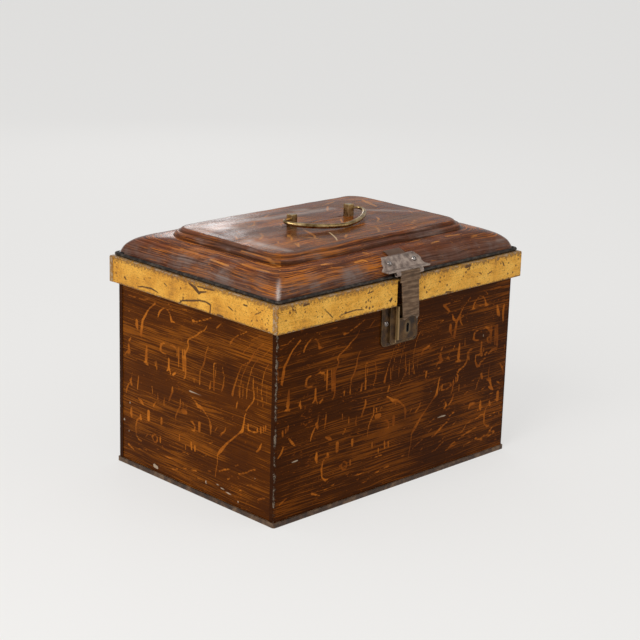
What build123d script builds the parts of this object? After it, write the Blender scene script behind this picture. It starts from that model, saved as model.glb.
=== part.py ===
from build123d import *
import os
from math import asin, atan2, cos, degrees, radians, sin

os.makedirs("parts", exist_ok=True)

# Tole document box: tinplate walls seamed to a doubled bottom, a yellow skirt hung from a stepped dome lid,
# a drop handle, two back hinges and a hasp that closes over a small riveted box lock.
# Millimetres. Origin at the middle of the underside, X along the front, the lock on the -Y side, Z up.

# Tinplate
sheet = 0.6
seam_gap = 0.05
fold_radius = 1.2
lap = 5.0

# Body
body_width = 356.0
body_depth = 250.0
rim_top = 232.4
hem_height = 5.0
hem_corner = 2.6
corner_relief = 4.0
wire_gap = 0.1
rim_wire_diameter = 3.2
rim_wire_bend = 3.0
curl_turn = 240.0

# Lid skirt
overhang = 7.2
skirt_height = 28.4
skirt_hem = 5.0
ledge_width = 10.0
rim_seat_gap = 0.2
shoulder_radius = 1.1
mitre_gap = 0.1
notch_width = 32.0

# Black wired bead round the dome's edge
bead_inset = 4.6
bead_radius = 2.5
bead_corner = 3.5
bead_gap = 0.1
bead_turn = 240.0

# Dome: how far in from the skirt's face, how far above the ledge, corner radius in plan
dome_foot = [(7.6, 0.0, 3.0), (7.6, 5.4, 3.6)]
dome_slope = [
    (7.6, 5.4, 3.6),
    (9.6, 11.4, 6.4),
    (12.2, 15.4, 9.6),
    (16.5, 19.4, 14.0),
    (23.5, 22.6, 20.0),
    (32.0, 24.5, 24.5),
    (40.5, 25.6, 27.0),
]
dome_steps = [
    (40.5, 25.6, 27.0),
    (42.4, 28.8, 25.4),
    (44.0, 30.0, 24.0),
    (46.8, 30.6, 21.4),
    (48.6, 33.0, 19.8),
    (50.6, 34.2, 18.0),
]
dome_crown = [(50.6, 34.2, 18.0), (66.0, 35.3, 18.0), (84.0, 35.8, 18.0)]

# Drop handle
post_spacing = 85.8
post_size = 8.0
post_height = 13.3
post_edge = 0.8
pivot_height = 8.0
pivot_radius = 1.2
pivot_clearance = 0.05
pivot_depth = 4.2
stud_radius = 2.0
stud_clearance = 0.1
nut_flats = 7.0
nut_height = 3.0
stud_end = 0.8
washer_radius = 6.0
washer_thickness = 0.8
bail_half_width = 57.0
bail_reach = 38.5
bail_bend = 5.5
bail_radius = 2.25
bail_fullness = 1.6
bail_rest_gap = 0.3

# Back hinges
hinge_spacing = 200.0
hinge_width = 30.0
hinge_leaf = 1.0
hinge_leaf_height = 20.0
hinge_pin_radius = 1.4
hinge_clearance = 0.05
hinge_drop = 0.8
hinge_middle = 13.6
knuckle_gap = 0.2
hinge_rivet_spacing = 18.0

# Hasp
hasp_leaf_thickness = 1.2
hasp_leaf_lift = 0.05
hasp_pin_radius = 1.3
hasp_clearance = 0.05
hasp_pin_above_ledge = 5.7
hasp_pin_outset = 0.65
lip_gap = 0.25
lip_reach = 0.5
lip_bend = 1.2
lip_width = 63.0
leaf_width = 57.0
leaf_top_width = 47.0
leaf_top = 20.7
tongue_width = 24.0
tongue_inset = 27.2
leaf_knuckle = 5.0
strap_thickness = 1.2
strap_top_width = 29.0
strap_width = 25.4
strap_tip_width = 23.4
strap_step = 9.0
strap_length = 48.4
strap_lean = 4.6
strap_notch = 3.4
hasp_rivet_spacing = 37.0
hasp_rivet_inset = 11.6
hasp_rivet_rise = 14.5

# Staple behind the strap
staple_thickness = 2.5
staple_height = 8.4
staple_wall = 1.5
staple_back_gap = 0.6
staple_clearance = 0.6

# Box lock
lock_left = -31.4
lock_right = 23.4
lock_below_rim = 28.9
lock_height = 42.0
lock_corner = 6.0
lock_plate = 1.5
case_sheet = 1.0
case_left = -12.7
case_right = 15.5
case_height = 36.5
case_depth = 6.0
case_round = 1.0
tray_left = -21.0
tray_height = 40.0
tray_depth = 2.2
mouth_right = 3.2
mouth_height = 12.9
keyhole_x = 1.4
keyhole_drop = 21.5
keyhole_radius = 1.6
keyhole_slot = 1.5
keyhole_length = 7.0
key_pin_radius = 0.8
bolt_length = 11.4
bolt_height = 6.0
tongue_height = 4.0
tongue_depth = 2.1
bolt_gap = 0.1
bolt_rest = 0.75
bolt_travel = 6.0
bolt_tail_width = 3.0
bolt_drop = 7.0
bolt_tail = 15.0
spring_thickness = 0.3
lock_rivet_left = -24.4
lock_rivet_right = 19.4
lock_rivet_drop = 17.5

# Rivets
rivet_radius = 1.25
rivet_clearance = 0.05
rivet_head = 3.1
rivet_rise = 2.0
rivet_foot = 0.8

# Where the sheets lie
half_x = body_width / 2
half_y = body_depth / 2
end_wall_x = half_x - sheet - seam_gap
skirt_x = half_x + overhang
skirt_y = half_y + overhang
side_skirt_x = skirt_x - sheet - seam_gap
hem_inner = seam_gap
hem_flange = 2 * seam_gap + sheet
hem_outer = 3 * seam_gap + 2 * sheet
hem_proud = hem_outer + sheet
flange_z = sheet + seam_gap
rim_curl = rim_wire_diameter / 2 + wire_gap
rim_curl_outer = rim_curl + sheet
rim_z = rim_top - rim_curl_outer
tab_bottom = hem_height + seam_gap
tab_top = rim_z - rim_curl_outer - 0.2
ledge_z = rim_top + rim_seat_gap
ledge_top = ledge_z + sheet
bead_z = ledge_top + bead_radius
skirt_bottom = ledge_top - skirt_height
lock_top = rim_top - lock_below_rim
lock_bottom = lock_top - lock_height
case_bottom = lock_top - case_height
tray_bottom = lock_top - tray_height
mouth_bottom = lock_top - mouth_height
keyhole_z = lock_top - keyhole_drop
bolt_level = lock_top - bolt_drop
lock_rivet_z = lock_top - lock_rivet_drop
hinge_y = skirt_y + hinge_pin_radius + hinge_clearance + hinge_leaf
hinge_z = skirt_bottom - hinge_drop - hinge_pin_radius - hinge_clearance - hinge_leaf
panel_z = ledge_top + dome_crown[-1][1]
post_xs = [-post_spacing / 2, post_spacing / 2]
pivot_z = panel_z + pivot_height
bail_drop = pivot_height - bail_radius - bail_rest_gap
hasp_pin_y = -skirt_y - hasp_pin_outset
hasp_pin_z = ledge_top + hasp_pin_above_ledge


# A strip of sheet round part of a circle, drawn in the open sketch
def curl(x, z, inner, outer, start, turn):
    with BuildLine() as strip:
        outside = CenterArc((x, z), outer, start, turn)
        inside = CenterArc((x, z), inner, start, turn)
        Line(outside @ 0, inside @ 0)
        Line(outside @ 1, inside @ 1)
    make_face(strip.edges())


# Section of a body wall whose outer face is at -face: hook for the bottom seam, flat wall, curl for the rim wire
def wall_section(face):
    hook_top = hem_height - sheet - seam_gap
    with BuildLine() as outline:
        Polyline(
            (-face + sheet, rim_z),
            (-face + sheet, flange_z),
            (-face - hem_outer + seam_gap, flange_z),
            (-face - hem_outer + seam_gap, hook_top),
            (-face - hem_flange, hook_top),
            (-face - hem_flange, flange_z + sheet),
            (-face, flange_z + sheet),
            (-face, rim_z),
            close=True,
        )
    make_face(outline.edges())
    curl(-face - rim_curl, rim_z, rim_curl, rim_curl_outer, 0, curl_turn)


# Section of a skirt strip: folded hem, wall and turned-in ledge
def skirt_section(face, reach):
    with Locations((-face, skirt_bottom)):
        Rectangle(sheet, ledge_top - skirt_bottom, align=(Align.MIN, Align.MIN))
        Rectangle(2 * sheet + seam_gap, sheet, align=(Align.MIN, Align.MIN))
    with Locations((-face + sheet + seam_gap, skirt_bottom)):
        Rectangle(sheet, skirt_hem, align=(Align.MIN, Align.MIN))
    with Locations((-face, ledge_z)):
        Rectangle(reach, sheet, align=(Align.MIN, Align.MIN))


# Thin U in plan: a front face with both ends folded back over the end strips
def folded_plan(x, y):
    with Locations((0, -y)):
        Rectangle(2 * x, fold_radius + lap, align=(Align.CENTER, Align.MIN))
    with Locations((0, -y + sheet)):
        Rectangle(2 * (x - sheet), fold_radius + lap, align=(Align.CENTER, Align.MIN), mode=Mode.SUBTRACT)


# Closed rounded rectangle, inset from the skirt's face
def lid_outline(inset, radius, mode=Mode.ADD):
    RectangleRounded(2 * (skirt_x - inset), 2 * (skirt_y - inset), radius, mode=mode)


# Half of a level rounded rectangle, from the middle of the front round the right end to the middle of the back
def half_way_round(x, y, z, bend):
    with BuildLine() as path:
        FilletPolyline((0, -y, z), (x, -y, z), (x, y, z), (0, y, z), radius=bend)
    return path.wires()[0]


# The plane across such a path at its start, X pointing out of the box and Y up
def path_section(path):
    return Plane(origin=path @ 0, x_dir=(0, -1, 0), z_dir=(-1, 0, 0))


# A dome-head rivet: the plane lies where the head sits and points out of the sheet
def rivet(seat, grip, head=rivet_head, rise=rivet_rise):
    ball = (head**2 + rise**2) / (2 * rise)
    half = asin(head / ball) / 2
    with BuildSketch(Plane(origin=seat.origin, x_dir=seat.x_dir, z_dir=-seat.y_dir)) as half_rivet:
        with BuildLine():
            Polyline(
                (0, rise),
                (0, -grip - rivet_foot),
                (2 * rivet_radius, -grip - rivet_foot),
                (2 * rivet_radius, -grip),
                (rivet_radius, -grip),
                (rivet_radius, 0),
                (head, 0),
            )
            ThreePointArc((head, 0), (ball * sin(half), rise - ball + ball * cos(half)), (0, rise))
        make_face()
    revolve(half_rivet.sketch, axis=Axis(seat.origin, seat.z_dir))


# Clearance hole for a rivet, through whatever sheet is near the plane
def rivet_hole(seat, depth=6.0):
    with Locations(seat):
        Cylinder(rivet_radius + rivet_clearance, depth, mode=Mode.SUBTRACT)


# The line a distance outside a profile, its corners kept parallel
def beside(points, distance):
    shifted = []
    for i, (x, z) in enumerate(points):
        x0, z0 = points[max(i - 1, 0)]
        x1, z1 = points[i]
        x2, z2 = points[min(i + 1, len(points) - 1)]
        before = atan2(z1 - z0, x1 - x0) if i else atan2(z2 - z1, x2 - x1)
        after = atan2(z2 - z1, x2 - x1) if i < len(points) - 1 else before
        middle = (before + after) / 2
        reach = distance / cos((after - before) / 2)
        shifted.append((x - reach * sin(middle), z + reach * cos(middle)))
    return shifted


# Planes of the rivets
lock_face = -half_y - lock_plate
lock_seats = [
    Plane(origin=(x, lock_face, lock_rivet_z), x_dir=(1, 0, 0), z_dir=(0, -1, 0))
    for x in (lock_rivet_left, lock_rivet_right)
]
hinge_xs = [-hinge_spacing / 2, hinge_spacing / 2]
hinge_rivet_xs = [x + s * hinge_rivet_spacing / 2 for x in hinge_xs for s in (-1, 1)]
lid_leaf_seats = [
    Plane(origin=(x, skirt_y + hinge_leaf, skirt_bottom + 0.55 * hinge_leaf_height), x_dir=(1, 0, 0), z_dir=(0, 1, 0))
    for x in hinge_rivet_xs
]
body_leaf_seats = [
    Plane(origin=(x, half_y + hinge_leaf, hinge_z - 0.6 * hinge_leaf_height), x_dir=(1, 0, 0), z_dir=(0, 1, 0))
    for x in hinge_rivet_xs
]
slope_turn = atan2(dome_slope[2][1] - dome_slope[1][1], dome_slope[2][0] - dome_slope[1][0])
slope_out = Vector(0, -sin(slope_turn), cos(slope_turn))
leaf_lift = hasp_leaf_lift + hasp_leaf_thickness
leaf_seats = [
    Plane(
        origin=Vector(x, hasp_rivet_inset - skirt_y, ledge_top + hasp_rivet_rise) + slope_out * leaf_lift,
        x_dir=(1, 0, 0),
        z_dir=slope_out,
    )
    for x in (-hasp_rivet_spacing / 2, hasp_rivet_spacing / 2)
]

# Blank of the front and back walls
with BuildPart() as long_wall:
    with BuildSketch(Plane.YZ):
        wall_section(half_y)
    extrude(amount=half_x - corner_relief, both=True)
    with BuildSketch(Plane.XY.offset(flange_z)):
        with Locations((0, -half_y)):
            Rectangle(2 * (half_x - fold_radius), sheet, align=(Align.CENTER, Align.MIN))
    extrude(amount=tab_bottom - flange_z)
    with BuildSketch(Plane.XY.offset(tab_bottom)) as fold_plan:
        folded_plan(half_x, half_y)
        corners = fold_plan.vertices().group_by(Axis.Y)
        fillet(corners[0], fold_radius)
        fillet(fold_plan.vertices().filter_by(lambda v: abs(v.Y + half_y - sheet) < 0.01), fold_radius - sheet)
    extrude(amount=tab_top - tab_bottom)

with BuildPart() as front_panel:
    add(long_wall.part)
    for seat in lock_seats:
        rivet_hole(seat)

with BuildPart() as back_panel:
    mirror(long_wall.part, about=Plane.XZ)
    for seat in body_leaf_seats:
        rivet_hole(seat)

# End walls stand between the folded ends
with BuildPart() as left_panel:
    with BuildSketch(Plane.XZ):
        wall_section(end_wall_x)
    extrude(amount=half_y - corner_relief, both=True)
    with BuildSketch(Plane.XY.offset(flange_z)):
        with Locations((-end_wall_x, 0)):
            Rectangle(sheet, 2 * (half_y - fold_radius), align=(Align.MIN, Align.CENTER))
    extrude(amount=tab_top - flange_z)

with BuildPart() as right_panel:
    mirror(left_panel.part, about=Plane.YZ)

# Wire in the rolled rim
with BuildPart() as rim_wire:
    rim_path = half_way_round(end_wall_x + rim_curl, half_y + rim_curl, rim_z, rim_wire_bend)
    with BuildSketch(path_section(rim_path)):
        Circle(rim_wire_diameter / 2)
    sweep(path=rim_path)
    mirror(about=Plane.YZ)


# One upright layer of the bottom's seam
def hem_layer(inner, outer, low, high):
    with BuildSketch(Plane.XY.offset(low)) as layer:
        RectangleRounded(2 * (end_wall_x + outer), 2 * (half_y + outer), hem_corner - hem_proud + outer)
        RectangleRounded(
            2 * (end_wall_x + inner), 2 * (half_y + inner), hem_corner - hem_proud + inner, mode=Mode.SUBTRACT
        )
    extrude(layer.sketch, amount=high - low)


# Bottom sheet, turned up outside the walls and back down inside their hooks
with BuildPart() as bottom_pan:
    with BuildSketch():
        RectangleRounded(2 * (end_wall_x + hem_proud), 2 * (half_y + hem_proud), hem_corner)
    extrude(amount=sheet)
    hem_layer(hem_outer, hem_proud, 0, hem_height)
    hem_layer(hem_inner, hem_proud, hem_height - sheet, hem_height)
    hem_layer(hem_inner, hem_inner + sheet, flange_z + sheet + seam_gap, hem_height)
    rim_edges = bottom_pan.edges().filter_by(lambda e: abs(e.center().Z - hem_height) < 0.01)
    outer_edges = rim_edges.filter_by(lambda e: abs(e.center().X) > end_wall_x + 1 or abs(e.center().Y) > half_y + 1)
    fillet(outer_edges, 0.5)

# Front strip of the skirt, folded round the corners and notched for the hasp
with BuildPart() as long_skirt:
    with BuildSketch(Plane.YZ):
        skirt_section(skirt_y, ledge_width)
    extrude(amount=skirt_x, both=True)
    fillet(
        long_skirt.edges().filter_by(Axis.X).sort_by(lambda e: e.center().Z - e.center().Y)[-1], shoulder_radius
    )
    with BuildSketch(Plane.XY.offset(skirt_bottom)):
        with BuildLine():
            Polyline(
                (fold_radius - skirt_x, -skirt_y),
                (fold_radius - skirt_x, -skirt_y + fold_radius - mitre_gap),
                (ledge_width + mitre_gap - skirt_x, ledge_width - skirt_y),
                (skirt_x - ledge_width - mitre_gap, ledge_width - skirt_y),
                (skirt_x - fold_radius, -skirt_y + fold_radius - mitre_gap),
                (skirt_x - fold_radius, -skirt_y),
                close=True,
            )
        make_face()
    extrude(amount=ledge_top - skirt_bottom, mode=Mode.INTERSECT)
    with BuildSketch(Plane.XY.offset(skirt_bottom)) as skirt_plan:
        folded_plan(skirt_x, skirt_y)
        corners = skirt_plan.vertices().group_by(Axis.Y)
        fillet(corners[0], fold_radius)
        fillet(skirt_plan.vertices().filter_by(lambda v: abs(v.Y + skirt_y - sheet) < 0.01), fold_radius - sheet)
    extrude(amount=ledge_top - shoulder_radius - skirt_bottom)

with BuildPart() as lid_front_skirt:
    add(long_skirt.part)
    with BuildSketch(Plane.XZ.offset(skirt_y + 1)):
        with Locations((0, skirt_bottom - 1)):
            Rectangle(notch_width, ledge_z - skirt_bottom, align=(Align.CENTER, Align.MIN))
    extrude(amount=-4 * sheet - 1, mode=Mode.SUBTRACT)

with BuildPart() as lid_back_skirt:
    mirror(long_skirt.part, about=Plane.XZ)
    for seat in lid_leaf_seats:
        rivet_hole(seat)

with BuildPart() as lid_left_skirt:
    with BuildSketch(Plane.XZ):
        skirt_section(side_skirt_x, ledge_width - skirt_x + side_skirt_x)
    extrude(amount=skirt_y, both=True)
    fillet(
        lid_left_skirt.edges().filter_by(Axis.Y).sort_by(lambda e: e.center().Z - e.center().X)[-1], shoulder_radius
    )
    with BuildSketch(Plane.XY.offset(skirt_bottom)):
        with BuildLine():
            Polyline(
                (-side_skirt_x, fold_radius - skirt_y),
                (fold_radius - mitre_gap - skirt_x, fold_radius - skirt_y),
                (ledge_width - skirt_x, ledge_width + mitre_gap - skirt_y),
                (ledge_width - skirt_x, skirt_y - ledge_width - mitre_gap),
                (fold_radius - mitre_gap - skirt_x, skirt_y - fold_radius),
                (-side_skirt_x, skirt_y - fold_radius),
                close=True,
            )
        make_face()
    extrude(amount=ledge_top - skirt_bottom, mode=Mode.INTERSECT)

with BuildPart() as lid_right_skirt:
    mirror(lid_left_skirt.part, about=Plane.YZ)


runs = ((dome_slope, False), (dome_steps, True), (dome_crown, False))
whole = dome_foot + dome_slope[1:] + dome_steps[1:] + dome_crown[1:]
inner_line = beside([(inset, rise) for inset, rise, radius in whole], -sheet)
inner_whole = [(x, z, max(s[2] - x + s[0], 0.5)) for (x, z), s in zip(inner_line, whole)]

# The hollow of the dome, one sheet inside its face
with BuildPart() as dome_hollow:
    first = 1
    with BuildSketch(Plane.XY.offset(ledge_top)):
        lid_outline(inner_whole[0][0], inner_whole[0][2])
    extrude(amount=inner_whole[1][1])
    for stations, ruled in runs:
        last = first + len(stations) - 1
        for inset, rise, radius in inner_whole[first : last + 1]:
            with BuildSketch(Plane.XY.offset(ledge_top + rise)):
                lid_outline(inset, radius)
        loft(ruled=ruled)
        first = last

# The dome's edge, rolled outwards round its wire
with BuildPart() as dome_edge:
    bead_path = half_way_round(skirt_x - bead_inset, skirt_y - bead_inset, bead_z, bead_corner)
    with BuildSketch(path_section(bead_path)):
        curl(0, 0, bead_radius - sheet, bead_radius, -90, bead_turn)
    sweep(path=bead_path)
    mirror(about=Plane.YZ)

# The dome's outer form, solid
with BuildPart() as dome_form:
    with BuildSketch(Plane.XY.offset(ledge_top)):
        lid_outline(dome_foot[0][0], dome_foot[0][2])
    extrude(amount=dome_foot[1][1])
    for stations, ruled in runs:
        for inset, rise, radius in stations:
            with BuildSketch(Plane.XY.offset(ledge_top + rise)):
                lid_outline(inset, radius)
        loft(ruled=ruled)

# The dome pressing: steep side, two-step moulding and low crowned panel, with its edge rolled outwards
with BuildPart() as lid_dome:
    add(dome_form.part)
    add(dome_hollow.part, mode=Mode.SUBTRACT)
    with BuildSketch(Plane.XY.offset(ledge_top)):
        lid_outline(bead_inset, bead_corner)
        lid_outline(dome_foot[0][0] + sheet, dome_foot[0][2] - sheet, mode=Mode.SUBTRACT)
    extrude(amount=sheet)
    add(dome_edge.part)
    for seat in leaf_seats:
        rivet_hole(seat)
    with Locations(*[(x, 0, panel_z) for x in post_xs]):
        Cylinder(stud_radius + stud_clearance, 4 * sheet, mode=Mode.SUBTRACT)

with BuildPart() as lid_edge_wire:
    with BuildSketch(path_section(bead_path)):
        Circle(bead_radius - sheet - bead_gap)
    sweep(path=bead_path)
    mirror(about=Plane.YZ)

# Handle posts: square heads, a stud through the panel and a bore for the bail in the outer face
posts = {}
for side, x in zip((-1, 1), post_xs):
    with BuildPart() as post:
        with BuildSketch(Plane.XY.offset(panel_z)):
            with Locations((x, 0)):
                Rectangle(post_size, post_size)
        extrude(amount=post_height)
        fillet(post.faces().sort_by(Axis.Z)[-1].edges(), post_edge)
        with BuildSketch(Plane.XY.offset(panel_z)):
            with Locations((x, 0)):
                Circle(stud_radius)
        extrude(amount=-sheet - washer_thickness - nut_height - stud_end)
        with BuildSketch(Plane.YZ.offset(x + side * post_size / 2)):
            with Locations((0, pivot_z)):
                Circle(pivot_radius + pivot_clearance)
        extrude(amount=-side * pivot_depth, mode=Mode.SUBTRACT)
    posts[side] = post.part

with BuildPart() as handle_washers:
    with BuildSketch(Plane.XY.offset(panel_z - sheet - seam_gap)):
        with Locations(*[(x, 0) for x in post_xs]):
            Circle(washer_radius)
            Circle(stud_radius + stud_clearance, mode=Mode.SUBTRACT)
    extrude(amount=-washer_thickness)

with BuildPart() as handle_nuts:
    with BuildSketch(Plane.XY.offset(panel_z - sheet - seam_gap - washer_thickness)):
        with Locations(*[(x, 0) for x in post_xs]):
            RegularPolygon(nut_flats / 2, 6, major_radius=False)
            Circle(stud_radius + seam_gap, mode=Mode.SUBTRACT)
    extrude(amount=-nut_height)

# Stations along the bail from its left end to its right end: place in the bail's own plane, heading, radius
power = 2 / bail_fullness
half_bail = []
for turn in (0, 10, 22, 34, 46, 57, 67, 76, 84):
    a = radians(turn)
    run = bail_half_width * sin(a) ** power
    out = bail_bend + (bail_reach - bail_bend) * cos(a) ** power
    along = bail_half_width * power * sin(a) ** (power - 1) * cos(a) if turn else 1.0
    back = (bail_reach - bail_bend) * power * cos(a) ** (power - 1) * sin(a)
    half_bail.append((run, out, along, -back))
for turn in (0, 30, 60, 90):
    a = radians(turn)
    half_bail.append(
        (bail_half_width - bail_bend + bail_bend * cos(a), bail_bend - bail_bend * sin(a), -sin(a), -cos(a))
    )
last = len(half_bail) - 1
half_bail = [
    (run, out, along, back, pivot_radius + (bail_radius - pivot_radius) * (1 - (i / last) ** 3))
    for i, (run, out, along, back) in enumerate(half_bail)
]
stations = [(-run, out, along, -back, r) for run, out, along, back, r in half_bail[:0:-1]] + half_bail

# Drop bail: a bow that swells to the middle, its ends turned in and let into the posts
bail_down = asin(bail_drop / bail_reach)
bail_up = Vector(0, sin(bail_down), -cos(bail_down))
with BuildPart() as handle_bail:
    for run, out, along, back, radius in stations:
        centre = Vector(run, -out * cos(bail_down), pivot_z - out * sin(bail_down))
        heading = Vector(along, -back * cos(bail_down), -back * sin(bail_down))
        with BuildSketch(Plane(origin=centre, x_dir=bail_up, z_dir=heading)):
            Circle(radius)
    loft()
    for side in (-1, 1):
        with BuildSketch(Plane.YZ.offset(side * (bail_half_width - bail_bend))):
            with Locations((0, pivot_z)):
                Circle(pivot_radius)
        extrude(amount=-side * (bail_half_width - bail_bend - post_spacing / 2 - post_size / 2 + pivot_depth - 0.2))

# Back hinges: a leaf riveted to the lid's skirt, a cranked leaf riveted to the wall, and a pin
hinge_outer = hinge_pin_radius + hinge_clearance + hinge_leaf
hinges = {}
for side, x in zip(("left", "right"), hinge_xs):
    with BuildPart() as lid_leaf:
        with BuildSketch(Plane.XZ.offset(-skirt_y)):
            with Locations((x, skirt_bottom)):
                Rectangle(hinge_width, hinge_leaf_height, align=(Align.CENTER, Align.MIN))
                Rectangle(hinge_middle, skirt_bottom - hinge_z, align=(Align.CENTER, Align.MAX))
        extrude(amount=-hinge_leaf)
        with BuildSketch(Plane.YZ.offset(x)):
            with Locations((hinge_y, hinge_z)):
                Circle(hinge_outer)
        extrude(amount=hinge_middle / 2, both=True)
        with BuildSketch(Plane.YZ.offset(x)):
            with Locations((hinge_y, hinge_z)):
                Circle(hinge_pin_radius + hinge_clearance)
        extrude(amount=hinge_width, both=True, mode=Mode.SUBTRACT)
        for seat in lid_leaf_seats:
            rivet_hole(seat)
    with BuildPart() as body_leaf:
        with BuildSketch(Plane.YZ.offset(x)):
            with Locations((half_y, hinge_z - hinge_outer + hinge_leaf)):
                Rectangle(hinge_leaf, hinge_leaf_height, align=(Align.MIN, Align.MAX))
                Rectangle(hinge_y - half_y, hinge_leaf, align=(Align.MIN, Align.MAX))
            with Locations((hinge_y, hinge_z)):
                Circle(hinge_outer)
        extrude(amount=hinge_width / 2, both=True)
        with BuildSketch(Plane.YZ.offset(x)):
            with Locations((hinge_y, hinge_z)):
                Circle(hinge_outer + knuckle_gap)
                Rectangle(2 * (hinge_outer + knuckle_gap), 2 * hinge_outer + 1)
        extrude(amount=hinge_middle / 2 + knuckle_gap, both=True, mode=Mode.SUBTRACT)
        with BuildSketch(Plane.YZ.offset(x)):
            with Locations((hinge_y, hinge_z)):
                Circle(hinge_pin_radius + hinge_clearance)
        extrude(amount=hinge_width, both=True, mode=Mode.SUBTRACT)
        for seat in body_leaf_seats:
            rivet_hole(seat)
    with BuildPart() as pin:
        with BuildSketch(Plane.YZ.offset(x)):
            with Locations((hinge_y, hinge_z)):
                Circle(hinge_pin_radius)
        extrude(amount=hinge_width / 2, both=True)
        chamfer(pin.edges().filter_by(GeomType.CIRCLE), 0.3)
    hinges[side] = {"lid_leaf": lid_leaf.part, "body_leaf": body_leaf.part, "pin": pin.part}

with BuildPart() as hinge_lid_rivets:
    for seat in lid_leaf_seats:
        rivet(seat, hinge_leaf + sheet)

with BuildPart() as hinge_body_rivets:
    for seat in body_leaf_seats:
        rivet(seat, hinge_leaf + sheet)

# Hasp leaf: rolled to the dome's slope, its lower edge carried out as a lip over the strap's knuckle
hasp_outer = hasp_pin_radius + hasp_clearance + strap_thickness
lip_z = hasp_pin_z + hasp_outer + lip_gap
slope_line = [(inset, rise) for inset, rise, radius in dome_slope]
leaf_line = [point for point in slope_line if point[0] < tongue_inset]
before, after = leaf_line[-1], slope_line[len(leaf_line)]
share = (tongue_inset - before[0]) / (after[0] - before[0])
leaf_line.append((tongue_inset, before[1] + share * (after[1] - before[1])))
leaf_face = [(inset - skirt_y, ledge_top + rise) for inset, rise in beside(leaf_line, leaf_lift)]
leaf_root = [(inset - skirt_y, ledge_top + rise) for inset, rise in beside(leaf_line, -1.0)]
leaf_face = [point for point in leaf_face if point[1] > lip_z + 2 * hasp_leaf_thickness]
with BuildPart() as hasp_leaf:
    with BuildSketch(Plane.YZ):
        with BuildLine():
            Polyline(
                leaf_face[0],
                (leaf_face[0][0] - lip_bend, lip_z + hasp_leaf_thickness),
                (hasp_pin_y - lip_reach, lip_z + hasp_leaf_thickness),
                (hasp_pin_y - lip_reach, lip_z),
                (leaf_root[0][0], lip_z),
                *leaf_root[1:],
                leaf_face[-1],
            )
            Spline(*leaf_face)
        make_face()
    extrude(amount=lip_width / 2, both=True)
    with BuildSketch(Plane.XZ):
        with BuildLine():
            half_outline = [
                (lip_width / 2, lip_z),
                (lip_width / 2, lip_z + hasp_leaf_thickness),
                (leaf_width / 2, lip_z + 3 * hasp_leaf_thickness),
                (leaf_width / 2, ledge_top + leaf_top - (leaf_width - leaf_top_width) / 2),
                (leaf_top_width / 2, ledge_top + leaf_top),
                (tongue_width / 2, ledge_top + leaf_top),
                (tongue_width / 2, panel_z),
            ]
            Polyline(*half_outline, *[(-x, z) for x, z in reversed(half_outline)], close=True)
        make_face()
    extrude(amount=2 * skirt_y, mode=Mode.INTERSECT)
    add(dome_form.part, mode=Mode.SUBTRACT)
    for side in (-1, 1):
        middle = side * (strap_top_width / 2 + knuckle_gap + leaf_knuckle / 2)
        with BuildSketch(Plane.YZ.offset(middle)):
            with Locations((hasp_pin_y, hasp_pin_z)):
                Circle(hasp_outer)
                Rectangle(hasp_pin_radius, hasp_outer + lip_gap + seam_gap, align=(Align.CENTER, Align.MIN))
                Circle(hasp_pin_radius + hasp_clearance, mode=Mode.SUBTRACT)
        extrude(amount=leaf_knuckle / 2, both=True)
    for seat in leaf_seats:
        rivet_hole(seat)
        with Locations(seat):
            Cylinder(
                rivet_head + seam_gap,
                hasp_leaf_thickness,
                align=(Align.CENTER, Align.CENTER, Align.MIN),
                mode=Mode.SUBTRACT,
            )

with BuildPart() as hasp_leaf_rivets:
    for seat in leaf_seats:
        rivet(seat, leaf_lift + sheet + rivet_foot / 4)

with BuildPart() as hasp_pin:
    with BuildSketch(Plane.YZ):
        with Locations((hasp_pin_y, hasp_pin_z)):
            Circle(hasp_pin_radius)
    extrude(amount=strap_top_width / 2 + knuckle_gap + leaf_knuckle, both=True)
    chamfer(hasp_pin.edges().filter_by(GeomType.CIRCLE), 0.3)


# The strap's back face at a height below its bend
def strap_back(z):
    return hasp_pin_y - hasp_outer + strap_thickness - (strap_bend_z - z) * sin(lean) / cos(lean)


# Hasp strap: rolled round its pin, hanging straight past the bead, then leaning out over the lock
strap_bend_z = hasp_pin_z - strap_step
lean = radians(strap_lean)
strap_tip_z = hasp_pin_z - strap_length
with BuildPart() as hasp_strap:
    with BuildSketch(Plane.YZ):
        with BuildLine():
            Polyline(
                (strap_back(strap_bend_z), hasp_pin_z),
                (strap_back(strap_bend_z), strap_bend_z),
                (strap_back(strap_tip_z), strap_tip_z),
                (strap_back(strap_tip_z) - strap_thickness, strap_tip_z),
                (strap_back(strap_bend_z) - strap_thickness, strap_bend_z),
                (strap_back(strap_bend_z) - strap_thickness, hasp_pin_z),
                close=True,
            )
        make_face()
        with Locations((hasp_pin_y, hasp_pin_z)):
            Circle(hasp_outer)
            Circle(hasp_pin_radius + hasp_clearance, mode=Mode.SUBTRACT)
    extrude(amount=strap_top_width / 2, both=True)
    with BuildSketch(Plane.XZ.offset(skirt_y - 5)) as strap_front:
        with BuildLine():
            half_outline = [
                (0, strap_tip_z + strap_notch),
                (strap_tip_width / 2 - 2 * strap_thickness, strap_tip_z),
                (strap_tip_width / 2, strap_tip_z),
                (strap_width / 2, strap_bend_z),
                (strap_top_width / 2, strap_bend_z),
                (strap_top_width / 2, hasp_pin_z + 2 * hasp_outer),
            ]
            Polyline(*half_outline, *[(-x, z) for x, z in reversed(half_outline[1:])], close=True)
        make_face()
        fillet(strap_front.vertices().filter_by(lambda v: abs(abs(v.X) - strap_tip_width / 2) < 0.01), 0.8)
    extrude(amount=30, mode=Mode.INTERSECT)

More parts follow.
